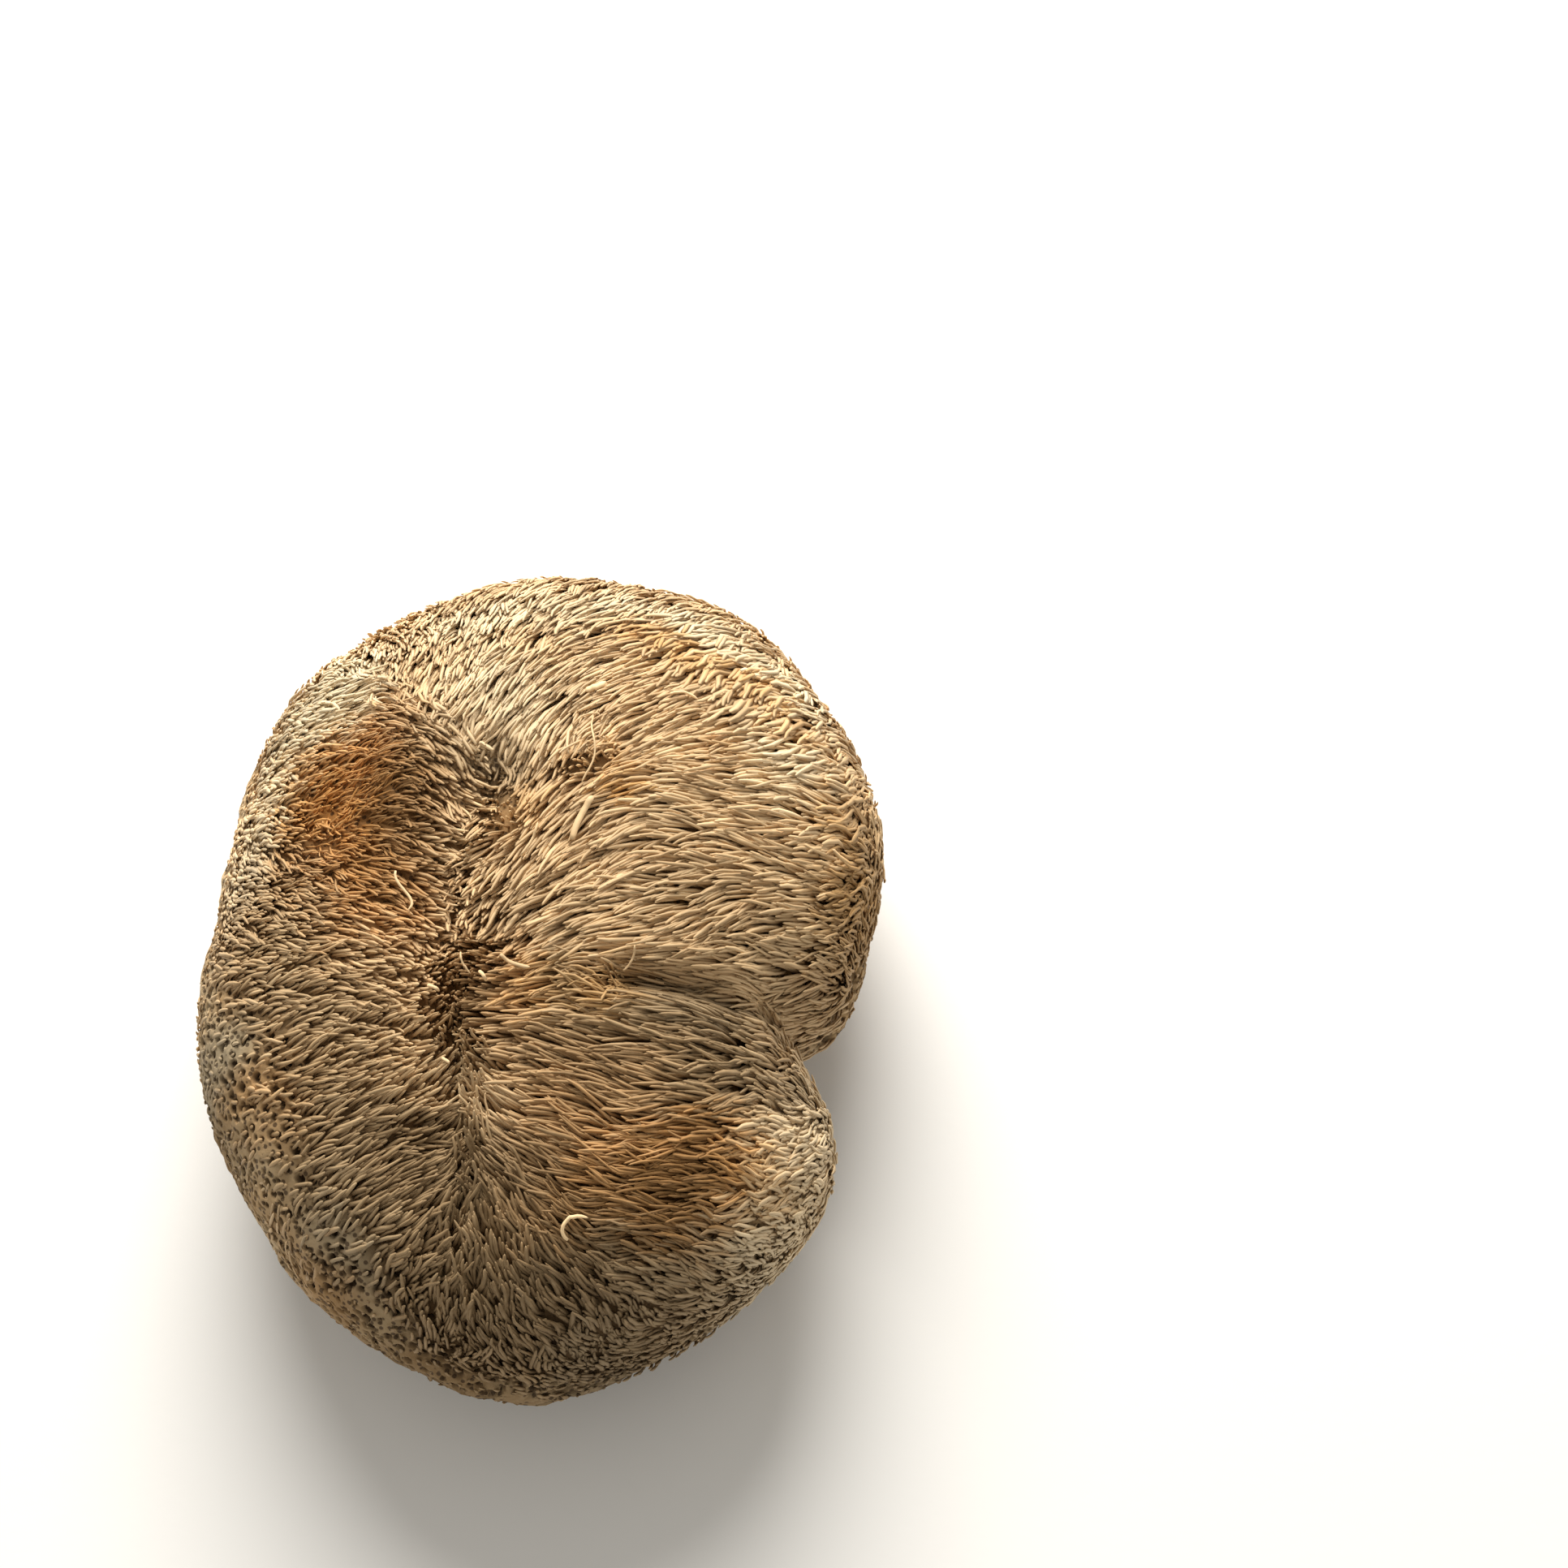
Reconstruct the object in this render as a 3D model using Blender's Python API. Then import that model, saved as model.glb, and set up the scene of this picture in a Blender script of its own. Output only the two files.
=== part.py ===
"""Lion's mane mushroom: one dried fruit body that rests on the cut where it left its wood.

Metres and radians, +Z up. The origin is under the middle of the body, on the surface that the
cut rests on.
The flesh is a squat cushion with a lobed outline, longest along Y. Short stump of the base below.
Spines cover its upper side and its margin. Each is fused to the flesh, and all of them are combed
towards a parting that runs along Y across the top, where they stand on end.
"""

import math
import random

import bmesh
import bpy
from mathutils import Vector

# Overall size, spines included.
WIDTH = 0.112
LENGTH = 0.143
HEIGHT = 0.061

# Outline of the spine tips seen from above: radii at equal angles, anticlockwise from +X.
OUTLINE = (
    0.0540, 0.058, 0.061, 0.0655, 0.071, 0.069, 0.072, 0.069,
    0.0665, 0.064, 0.059, 0.0555, 0.055, 0.0575, 0.0595, 0.0625,
    0.067, 0.069, 0.072, 0.069, 0.067, 0.063, 0.0575, 0.0540,
)
NOTCH_AZIMUTH = math.radians(-20)
NOTCH_HALF_ANGLE = math.radians(6)
NOTCH_DEPTH = 0.0055

# Flesh under the spines.
SPINE_COVER = 0.0045
FLESH_TOP = 0.0560
FLESH_WIDEST = 0.0260
FLESH_UNDERSIDE = 0.0070
TOP_ROUNDNESS = 2.3
UNDERSIDE_ROUNDNESS = 2.6
UNDERSIDE_RIBS = 9
UNDERSIDE_RIB_HEIGHT = 0.0013

# Cells of the flesh, one spine on each of the upper ones: counts along X, Y and Z. Their corners
# are seen from the middle of the body at angles that sway with (waves, phase) and jitter.
CELLS_X = 13
CELLS_Y = 15
CELLS_Z = 12
CELL_PULL_TO_TOP = 0.12
CELL_JITTER = 0.026
CELL_SWAY = 0.075
CELL_SWAY_WAVES = 4.6
CELL_SWAY_PHASES = (1.0, 0.0, 2.0, 1.5)

# The parting, seen from above, from its deep back end to its front end.
PARTING = ((-0.007, 0.018), (-0.002, 0.006), (-0.008, -0.016), (-0.005, -0.028), (-0.006, -0.038))
PARTING_DEPTH = 0.0036
PARTING_HALF_WIDTH = 0.0080

# A crease from the parting's right side out to the notch in the outline.
CREASE = ((0.013, -0.017), (0.030, -0.022), (0.046, -0.018))
CREASE_DEPTH = 0.0034
CREASE_HALF_WIDTH = 0.0060

# Lobes and hollows of the top: x, y, reach, height.
SWELLS = (
    (0.030, 0.026, 0.020, 0.0025),
    (0.030, -0.046, 0.014, 0.0022),
    (-0.032, -0.004, 0.017, 0.0016),
    (-0.022, 0.038, 0.016, 0.0012),
    (0.002, -0.056, 0.013, 0.0010),
    (-0.036, -0.034, 0.012, 0.0012),
    (-0.006, 0.015, 0.005, -0.0040),
    (-0.015, -0.039, 0.007, -0.0018),
    (-0.050, 0.012, 0.012, -0.0015),
)

# Spines. Lift is the angle to the flesh: it grows to PARTING_LIFT at the parting, and the tip
# droops by SPINE_BEND. The shoulder is the bend, a share of the way along. Lengths fade out from
# FULL_SPINE down to LOWEST_SPINE, both heights, and are cut back in the crease.
SPINE_LENGTH = 0.0115
SPINE_SHORTEST = 0.30
SPINE_LIFT = math.radians(27)
PARTING_LIFT = math.radians(84)
PARTING_REACH = 0.0170
PARTING_SHORTENING = 0.35
SPINE_BEND = math.radians(14)
SHOULDER_AT = 0.52
SHOULDER_WIDTH = 0.62
PARTING_NARROWING = 0.12
LENGTH_SPREAD = 0.16
HEADING_SPREAD = 0.07
LOWEST_SPINE = 0.0145
FULL_SPINE = 0.0300
CREASE_SHORTENING = 0.70
CREASE_REACH = 0.0100

# Stump of the base, which was cut off flat.
STUMP_CELLS = 2.6
STUMP_RADIUS_X = 0.0215
STUMP_RADIUS_Y = 0.0240
STUMP_CENTRE = (0.0, -0.002)
STUMP_ROOT_SCALE = 1.10
STUMP_WAIST_SCALE = 0.93
STUMP_WAIST_HEIGHT = 0.0035
STUMP_UNEVENNESS = ((3, 0.7, 0.05), (5, 0.0, 0.03))  # waves round the rim, phase, share of radius

UP = Vector((0.0, 0.0, 1.0))
RANDOM_SEED = 41


def clear_scene():
    """Removes every object, so that the model starts from an empty scene."""
    for obj in list(bpy.data.objects):
        bpy.data.objects.remove(obj, do_unlink=True)


def make_collection(name):
    collection = bpy.data.collections.new(name)
    bpy.context.scene.collection.children.link(collection)
    return collection


def make_material(name, colour, roughness):
    """A Principled material for dried flesh; the colour is linear."""
    material = bpy.data.materials.new(name)
    material.use_nodes = True
    shader = material.node_tree.nodes["Principled BSDF"]
    shader.inputs["Base Color"].default_value = (*colour, 1.0)
    shader.inputs["Roughness"].default_value = roughness
    shader.inputs["Metallic"].default_value = 0.0
    material.diffuse_color = (*colour, 1.0)
    return material


def bell(distance, reach):
    return math.exp(-((distance / reach) ** 2))


def outline_radius(azimuth):
    """Radius of the outline at an angle: a closed Catmull-Rom curve through the radii, notched."""
    count = len(OUTLINE)
    place = (azimuth % math.tau) / math.tau * count
    index = math.floor(place)
    t = place - index
    before, start, end, after = (OUTLINE[(index + k) % count] for k in (-1, 0, 1, 2))
    linear = (end - before) * t
    square = (2 * before - 5 * start + 4 * end - after) * t**2
    cube = (3 * start - before - 3 * end + after) * t**3
    from_notch = math.remainder(azimuth - NOTCH_AZIMUTH, math.tau)
    return 0.5 * (2 * start + linear + square + cube) - NOTCH_DEPTH * bell(from_notch, NOTCH_HALF_ANGLE)


def nearest_on_line(points, x, y):
    """The nearest point of an open line of (x, y) points, and its distance."""
    here = Vector((x, y))
    best = None
    for first, second in zip(points, points[1:]):
        start = Vector(first)
        run = Vector(second) - start
        share = min(1.0, max(0.0, (here - start).dot(run) / run.length_squared))
        near = start + run * share
        distance = (here - near).length
        if best is None or distance < best[1]:
            best = (near, distance)
    return best


def relief(x, y):
    """Height of the lobes, less the depth of the parting, the crease and the hollows."""
    height = sum(rise * bell(math.hypot(x - cx, y - cy), reach) for cx, cy, reach, rise in SWELLS)
    height -= PARTING_DEPTH * bell(nearest_on_line(PARTING, x, y)[1], PARTING_HALF_WIDTH)
    height -= CREASE_DEPTH * bell(nearest_on_line(CREASE, x, y)[1], CREASE_HALF_WIDTH)
    return height


def signed_power(value, power):
    return math.copysign(abs(value) ** power, value)


def flesh_point(direction):
    """Where a direction from the middle of the body meets the flesh."""
    azimuth = math.atan2(direction.y, direction.x)
    polar = math.acos(max(-1.0, min(1.0, direction.z)))
    polar -= CELL_PULL_TO_TOP * math.sin(2 * polar)
    roundness = TOP_ROUNDNESS if polar < math.pi / 2 else UNDERSIDE_ROUNDNESS
    reach = signed_power(math.sin(polar), 2 / roundness)
    level = signed_power(math.cos(polar), 2 / roundness)
    radius = (outline_radius(azimuth) - SPINE_COVER) * reach
    x = radius * math.cos(azimuth)
    y = radius * math.sin(azimuth)
    if level < 0:
        rib = UNDERSIDE_RIB_HEIGHT * math.sin(UNDERSIDE_RIBS * azimuth) * math.sin(math.pi * -level)
        return Vector((x, y, FLESH_WIDEST + (FLESH_WIDEST - FLESH_UNDERSIDE) * level + rib))
    return Vector((x, y, FLESH_WIDEST + (FLESH_TOP - FLESH_WIDEST + relief(x, y)) * level))


def slice_cube(bm):
    """A cube of half-width 1, cut into cells that look equal from its middle."""
    bmesh.ops.create_cube(bm, size=2.0)
    for axis, count in enumerate((CELLS_X, CELLS_Y, CELLS_Z)):
        normal = Vector((0.0, 0.0, 0.0))
        normal[axis] = 1.0
        for step in range(1, count):
            cut = math.tan(math.pi / 2 * step / count - math.pi / 4)
            geometry = bm.verts[:] + bm.edges[:] + bm.faces[:]
            bmesh.ops.bisect_plane(bm, geom=geometry, plane_co=normal * cut, plane_no=normal)


def open_stump(bm):
    """Makes one face of the middle cells of the cube's underside, and returns it."""
    limit_x = math.tan(math.pi / 2 * STUMP_CELLS / CELLS_X)
    limit_y = math.tan(math.pi / 2 * STUMP_CELLS / CELLS_Y)

    def in_stump(face):
        centre = face.calc_center_median()
        return centre.z < -0.99 and abs(centre.x) < limit_x and abs(centre.y) < limit_y

    cells = [face for face in bm.faces if in_stump(face)]
    merged = bmesh.ops.dissolve_faces(bm, faces=cells, use_verts=False)
    return merged["region"][0]


def cell_sway(direction):
    """A smooth sideways shift, so that the rows of cells wander."""
    x, y, z = direction * CELL_SWAY_WAVES
    waves = [math.sin(angle + phase) for angle, phase in zip((y, z, x, z), CELL_SWAY_PHASES)]
    return Vector((waves[0] + waves[1], waves[2] + waves[3], 0.0)) * (CELL_SWAY / 2)


def shape_flesh(bm, rng):
    """Moves the cube's cells onto the flesh, each corner a little off its even place."""
    for vert in bm.verts:
        direction = vert.co.normalized()
        shift = Vector([rng.uniform(-CELL_JITTER, CELL_JITTER) for _ in range(3)])
        vert.co = flesh_point((direction + cell_sway(direction) + shift).normalized())


def stump_ring(face, scale, height):
    """Sets the corners of the stump's face on its oval, at one height."""
    for vert in face.verts:
        azimuth = math.atan2(vert.co.y - STUMP_CENTRE[1], vert.co.x - STUMP_CENTRE[0])
        bulge = sum(share * math.sin(waves * azimuth + phase) for waves, phase, share in STUMP_UNEVENNESS)
        vert.co.x = STUMP_CENTRE[0] + STUMP_RADIUS_X * scale * (1 + bulge) * math.cos(azimuth)
        vert.co.y = STUMP_CENTRE[1] + STUMP_RADIUS_Y * scale * (1 + bulge) * math.sin(azimuth)
        vert.co.z = height


def grow_stump(bm, face):
    """Draws the stump down from the underside to its flat cut."""
    stump_ring(face, STUMP_ROOT_SCALE, FLESH_UNDERSIDE)
    for scale, height in ((STUMP_WAIST_SCALE, STUMP_WAIST_HEIGHT), (1.0, 0.0)):
        face = bmesh.ops.extrude_discrete_faces(bm, faces=[face])["faces"][0]
        stump_ring(face, scale, height)


def spine_vectors(centre, normal, rng):
    """A spine's two runs, from root to shoulder and from shoulder to tip, and its shoulder's width."""
    near, distance = nearest_on_line(PARTING, centre.x, centre.y)
    at_parting = math.exp(-distance / PARTING_REACH)
    upright = normal.lerp(UP, at_parting).normalized()
    to_parting = Vector((near.x, near.y, FLESH_TOP)) - centre
    along = (to_parting - upright * to_parting.dot(upright)).normalized()
    across = upright.cross(along)
    along = (along + across * rng.gauss(0.0, HEADING_SPREAD)).normalized()
    grown = min(1.0, max(0.0, (centre.z - LOWEST_SPINE) / (FULL_SPINE - LOWEST_SPINE)))
    length = SPINE_LENGTH * (SPINE_SHORTEST + (1 - SPINE_SHORTEST) * grown)
    length *= 1 - CREASE_SHORTENING * bell(nearest_on_line(CREASE, centre.x, centre.y)[1], CREASE_REACH)
    length *= 1 - PARTING_SHORTENING * at_parting
    length *= 1 + rng.uniform(-LENGTH_SPREAD, LENGTH_SPREAD)
    lift = SPINE_LIFT + (PARTING_LIFT - SPINE_LIFT) * at_parting
    shoulder = along * math.cos(lift) + upright * math.sin(lift)
    drooped = lift - SPINE_BEND * (1 - at_parting)
    tip = along * math.cos(drooped) + upright * math.sin(drooped)
    width = SHOULDER_WIDTH - PARTING_NARROWING * at_parting
    return shoulder * (length * SHOULDER_AT), tip * (length * (1 - SHOULDER_AT)), width


def grow_spines(bm, rng):
    """Draws every cell above the lowest spines out into a spine with a pointed tip."""
    bm.normal_update()
    roots = [face for face in bm.faces if face.calc_center_median().z > LOWEST_SPINE]
    caps = bmesh.ops.extrude_discrete_faces(bm, faces=roots)["faces"]
    bm.normal_update()
    tips = []
    for cap in caps:
        centre = cap.calc_center_median()
        to_shoulder, to_tip, width = spine_vectors(centre, cap.normal.copy(), rng)
        for vert in cap.verts:
            vert.co = centre + (vert.co - centre) * width + to_shoulder
        tips.append(centre + to_shoulder + to_tip)
    for cap, tip in zip(caps, tips):
        poked = bmesh.ops.poke(bm, faces=[cap])
        poked["verts"][0].co = tip


def fit_to_size(bm):
    """Scales the body to its overall size and stands its cut on the origin's plane."""
    lows = [min(vert.co[axis] for vert in bm.verts) for axis in range(3)]
    highs = [max(vert.co[axis] for vert in bm.verts) for axis in range(3)]
    middle = Vector(((lows[0] + highs[0]) / 2, (lows[1] + highs[1]) / 2, lows[2]))
    sides = [high - low for low, high in zip(lows, highs)]
    factors = Vector([size / side for size, side in zip((WIDTH, LENGTH, HEIGHT), sides)])
    bmesh.ops.translate(bm, vec=-middle, verts=bm.verts[:])
    bmesh.ops.scale(bm, vec=factors, verts=bm.verts[:])


def make_fruit_body(collection, material):
    """The whole mushroom, one closed body."""
    rng = random.Random(RANDOM_SEED)
    bm = bmesh.new()
    slice_cube(bm)
    stump = open_stump(bm)
    shape_flesh(bm, rng)
    grow_stump(bm, stump)
    grow_spines(bm, rng)
    fit_to_size(bm)
    bmesh.ops.recalc_face_normals(bm, faces=bm.faces[:])
    mesh = bpy.data.meshes.new("fruit_body")
    bm.to_mesh(mesh)
    bm.free()
    mesh.materials.append(material)
    fruit_body = bpy.data.objects.new("fruit_body", mesh)
    collection.objects.link(fruit_body)
    return fruit_body


def main():
    clear_scene()
    collection = make_collection("lions_mane_mushroom")
    flesh = make_material("dried_flesh", colour=(0.35, 0.23, 0.115), roughness=0.85)
    make_fruit_body(collection, flesh)


main()
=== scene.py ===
"""Dried lion's mane mushroom: porous flesh under thousands of fine spines, combed to a hub.

Metres and radians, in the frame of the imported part: +Z up out of the cut base, +Y away from the
viewer, +X to the viewer's right. The body's form repeats the solid's own formula, so that the
flesh and the spines lie where the solid is.
"""

import dataclasses
import itertools
import logging
import math
from dataclasses import dataclass, field
from enum import Enum
from typing import ClassVar

import bmesh
import bpy
import numpy as np
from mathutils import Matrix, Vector
from mathutils.kdtree import KDTree


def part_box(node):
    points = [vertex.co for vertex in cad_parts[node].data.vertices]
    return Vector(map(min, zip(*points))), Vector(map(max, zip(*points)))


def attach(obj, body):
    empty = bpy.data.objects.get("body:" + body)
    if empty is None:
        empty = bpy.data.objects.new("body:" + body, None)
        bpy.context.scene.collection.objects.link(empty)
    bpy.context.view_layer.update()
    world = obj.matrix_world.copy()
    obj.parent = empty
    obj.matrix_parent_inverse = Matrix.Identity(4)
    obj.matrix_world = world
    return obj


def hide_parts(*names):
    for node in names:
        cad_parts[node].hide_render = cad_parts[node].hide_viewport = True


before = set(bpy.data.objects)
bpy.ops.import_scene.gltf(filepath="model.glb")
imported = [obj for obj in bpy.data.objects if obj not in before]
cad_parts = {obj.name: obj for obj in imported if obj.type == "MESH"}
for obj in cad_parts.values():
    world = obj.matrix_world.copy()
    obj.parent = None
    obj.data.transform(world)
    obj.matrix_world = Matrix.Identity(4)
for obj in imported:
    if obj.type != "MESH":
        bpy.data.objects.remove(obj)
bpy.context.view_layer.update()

LOG = logging.getLogger("lions_mane")
Array = np.ndarray
MM = 0.001
NODE = "fruit_body"
SEED = 17

# what soft_noise mixes the corners of its lattice with; large odd numbers do
LATTICE_PRIMES = (73856093, 19349663, 83492791)
SEED_PRIME = 2654435761
MIXERS = ((15, 2246822519), (13, 3266489917))
LATTICE_START = 7.3


def bell(distance: Array, reach: float) -> Array:
    """Falls from 1 at no distance towards 0 past the reach."""
    return np.exp(-((distance / reach) ** 2))


def smooth_step(values: Array, low: float, high: float) -> Array:
    """Rises smoothly from 0 at low to 1 at high."""
    share = np.clip((values - low) / (high - low), 0.0, 1.0)
    return share * share * (3 - 2 * share)


def unit(vectors: Array) -> Array:
    """The vectors scaled to length 1, along the last axis."""
    return vectors / np.maximum(np.linalg.norm(vectors, axis=-1, keepdims=True), 1e-12)


def dot(first: Array, second: Array) -> Array:
    """Dot products along the last axis, which is kept."""
    return (first * second).sum(axis=-1, keepdims=True)


def closed_curve(values: tuple[float, ...], azimuth: Array) -> Array:
    """Reads a closed Catmull-Rom curve through values at equal angles, anticlockwise from +X.

    Args:
        values: the curve's values, the first one at angle 0.
        azimuth: the angles to read it at.

    Returns:
        The curve's value at each angle.
    """
    table = np.array(values)
    place = np.mod(azimuth, math.tau) / math.tau * len(table)
    index = np.floor(place).astype(int)
    t = place - index
    before, start, end, after = (table[(index + k) % len(table)] for k in (-1, 0, 1, 2))
    square = (2 * before - 5 * start + 4 * end - after) * t**2
    cube = (3 * start - before - 3 * end + after) * t**3
    return 0.5 * (2 * start + (end - before) * t + square + cube)


def line_distance(line: tuple[tuple[float, float], ...], spots: Array) -> Array:
    """Distance of spots from an open line.

    Args:
        line: the points of the line, in order.
        spots: (n, 2) places.

    Returns:
        Each spot's distance.
    """
    best = np.full(len(spots), np.inf)
    for first, second in zip(line, line[1:]):
        start, run = np.array(first), np.subtract(second, first)
        share = np.clip((spots - start) @ run / (run @ run), 0.0, 1.0)
        best = np.minimum(best, np.linalg.norm(spots - start - share[:, None] * run, axis=1))
    return best


def soft_noise(points: Array, size: float, seed: int) -> Array:
    """Smooth noise from -1 to 1.

    Args:
        points: (n, 3) places to read it at.
        size: how wide its lumps are.
        seed: picks one pattern.

    Returns:
        The noise at each point.
    """
    places = points / size + LATTICE_START
    low = np.floor(places).astype(np.int64)
    t = places - low
    t = t * t * (3 - 2 * t)
    total = np.zeros(len(points))
    for corner in itertools.product((0, 1), repeat=3):
        at = (low + corner).astype(np.uint64)
        mixed = np.full(len(points), seed * SEED_PRIME, np.uint64)
        for axis, prime in enumerate(LATTICE_PRIMES):
            mixed ^= at[:, axis] * np.uint64(prime)
        for shift, factor in MIXERS:
            mixed = (mixed ^ (mixed >> np.uint64(shift))) * np.uint64(factor)
        value = ((mixed >> np.uint64(8)) & np.uint64(0xFFFFFF)).astype(float) / 0xFFFFFF
        total += (value * 2 - 1) * np.prod(np.where(corner, t, 1 - t), axis=1)
    return total


def tree_of(points: Array) -> KDTree:
    """Sorts points into a search tree.

    Args:
        points: (n, 3) places.

    Returns:
        The tree, which gives the points' indices.
    """
    tree = KDTree(len(points))
    for index, point in enumerate(points):
        tree.insert(point, index)
    tree.balance()
    return tree


def thin_out(points: Array, spacing: Array, rng: np.random.Generator) -> Array:
    """Picks points that keep their spacing from each other.

    Args:
        points: (n, 3) candidates.
        spacing: each candidate's distance to the next one picked.
        rng: gives the order in which they are tried.

    Returns:
        The indices of the picked points.
    """
    tree = tree_of(points)
    free = np.ones(len(points), bool)
    picked = []
    for index in rng.permutation(len(points)):
        if free[index]:
            picked.append(index)
            for _, other, _ in tree.find_range(points[index], spacing[index]):
                free[other] = False
    return np.array(picked)


def nearest(points: Array, targets: Array) -> tuple[Array, Array]:
    """Finds the target nearest to each point.

    Args:
        points: (n, 3) places.
        targets: (m, 3) places to choose from.

    Returns:
        The index of each point's target, and its distance.
    """
    tree = tree_of(targets)
    found = [tree.find(point)[1:] for point in points]
    return np.array([index for index, _ in found]), np.array([gap for _, gap in found])


@dataclass(frozen=True)
class BodyForm:
    """The flesh as one smooth closed form: a squat cushion with a lobed outline.

    It is drawn before the body is fitted to the solid's box, as the solid itself is.

    Attributes:
        outline: radii over the spines at even angles, anticlockwise from +X, seen from above.
        notch_reach: the shares of the radius between which the notch fades in.
        spine_cover: how far inside the outline the flesh is.
        swells: place, reach and rise of each lobe; a hollow's rise is negative.
    """

    outline: tuple[float, ...] = (
        0.0538, 0.0585, 0.0625, 0.0648, 0.0690, 0.0685, 0.0690, 0.0670,
        0.0650, 0.0630, 0.0578, 0.0543, 0.0530, 0.0557, 0.0580, 0.0601,
        0.0644, 0.0680, 0.0714, 0.0696, 0.0668, 0.0637, 0.0590, 0.0530,
    )
    notch_azimuth: float = math.radians(-24.5)
    notch_half_angle: float = math.radians(8.5)
    notch_depth: float = 0.0110
    notch_reach: tuple[float, float] = (0.6, 1.0)
    spine_cover: float = 0.0045
    top: float = 0.0560
    widest: float = 0.0260
    underside: float = 0.0070
    top_roundness: float = 2.55
    underside_roundness: float = 2.6
    ribs: int = 9
    rib_height: float = 0.0013
    parting: tuple[tuple[float, float], ...] = (
        (-0.006, 0.018), (-0.008, 0.006), (-0.008, -0.016), (-0.005, -0.028), (-0.006, -0.038),
    )
    parting_depth: float = 0.0030
    parting_half_width: float = 0.0080
    crease: tuple[tuple[float, float], ...] = (
        (0.016, -0.0150), (0.023, -0.0155), (0.034, -0.0170),
    )
    crease_depth: float = 0.0062
    crease_half_width: float = 0.0027
    swells: tuple[tuple[float, float, float, float], ...] = (
        (0.030, 0.026, 0.020, 0.0025),
        (0.030, -0.046, 0.014, 0.0022),
        (-0.032, -0.004, 0.017, 0.0016),
        (-0.022, 0.038, 0.016, 0.0012),
        (0.002, -0.056, 0.013, 0.0010),
        (-0.036, -0.034, 0.012, 0.0012),
        (-0.006, 0.017, 0.005, -0.0028),
        (-0.015, -0.039, 0.007, -0.0018),
        (-0.050, 0.012, 0.012, -0.0015),
        (0.038, -0.019, 0.009, -0.0070),
        (0.043, -0.029, 0.010, -0.0090),
    )
    fade_rounds: int = 5
    slope_step: float = 0.1 * MM

    def radius(self, azimuth: Array, share: Array) -> Array:
        """Radius of the flesh, whose notch fades away inwards.

        Args:
            azimuth: the angle seen from above.
            share: how far out the place is, 1 at the widest.

        Returns:
            The radius that the share is a part of.
        """
        off = np.mod(azimuth - self.notch_azimuth + math.pi, math.tau) - math.pi
        fade = smooth_step(share, *self.notch_reach)
        notch = self.notch_depth * bell(off, self.notch_half_angle) * fade
        return closed_curve(self.outline, azimuth) - notch - self.spine_cover

    def relief(self, spots: Array) -> Array:
        """Height of the lobes less the depth of the parting, the crease and the hollows.

        Args:
            spots: (n, 2) places, seen from above.

        Returns:
            The height at each spot.
        """
        height = np.zeros(len(spots))
        for x, y, reach, rise in self.swells:
            height += rise * bell(np.hypot(spots[:, 0] - x, spots[:, 1] - y), reach)
        for line, depth, half_width in (
            (self.parting, self.parting_depth, self.parting_half_width),
            (self.crease, self.crease_depth, self.crease_half_width),
        ):
            height -= depth * bell(line_distance(line, spots), half_width)
        return height

    def without_relief(self) -> "BodyForm":
        """The same form with a plain top, whose normals turn slowly."""
        return dataclasses.replace(self, parting_depth=0.0, crease_depth=0.0, swells=())

    def fullness(self, points: Array) -> Array:
        """How far out points lie.

        Args:
            points: (n, 3) places near the flesh.

        Returns:
            1 on the flesh, less inside it and more outside.
        """
        x, y, z = points.T
        across = np.ones(len(points))
        for _ in range(self.fade_rounds):
            across = np.hypot(x, y) / self.radius(np.arctan2(y, x), across)
        above = z >= self.widest
        dome = self.top - self.widest + self.relief(points[:, :2])
        reach = np.where(above, dome, self.widest - self.underside)
        power = np.where(above, self.top_roundness, self.underside_roundness)
        return (across**power + (np.abs(z - self.widest) / reach) ** power) ** (1 / power)

    def slope(self, points: Array) -> Array:
        """How the fullness grows along each axis.

        Args:
            points: (n, 3) places near the flesh.

        Returns:
            (n, 3) slopes.
        """
        slopes = []
        for step in np.eye(3) * self.slope_step:
            change = self.fullness(points + step) - self.fullness(points - step)
            slopes.append(change / (2 * self.slope_step))
        return np.stack(slopes, axis=1)

    def normals(self, points: Array) -> Array:
        """Directions straight out of the flesh."""
        return unit(self.slope(points))

    def settle(self, points: Array) -> Array:
        """Moves points that are near the flesh onto it."""
        slope = self.slope(points)
        return points - (self.fullness(points)[:, None] - 1) / dot(slope, slope) * slope

    def outwards(self, directions: Array) -> Array:
        """Where directions from the middle of the body meet the flesh.

        Args:
            directions: (n, 3) vectors of length 1.

        Returns:
            (n, 3) points on the flesh, ribs of the underside included.
        """
        azimuth = np.arctan2(directions[:, 1], directions[:, 0])
        polar = np.arccos(np.clip(directions[:, 2], -1.0, 1.0))
        above = polar < math.pi / 2
        power = 2 / np.where(above, self.top_roundness, self.underside_roundness)
        reach = np.abs(np.sin(polar)) ** power
        level = np.sign(np.cos(polar)) * np.abs(np.cos(polar)) ** power
        radius = self.radius(azimuth, reach) * reach
        spots = np.stack([radius * np.cos(azimuth), radius * np.sin(azimuth)], axis=1)
        dome = (self.top - self.widest + self.relief(spots)) * level
        rib = self.rib_height * np.sin(self.ribs * azimuth) * np.sin(math.pi * -level)
        bowl = (self.widest - self.underside) * level + rib
        return np.column_stack([spots, self.widest + np.where(above, dome, bowl)])


@dataclass(frozen=True)
class Turn:
    """A place in mm where the comb swerves; it turns anticlockwise, seen from above."""

    x: float
    y: float
    reach: float
    degrees: float


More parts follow.
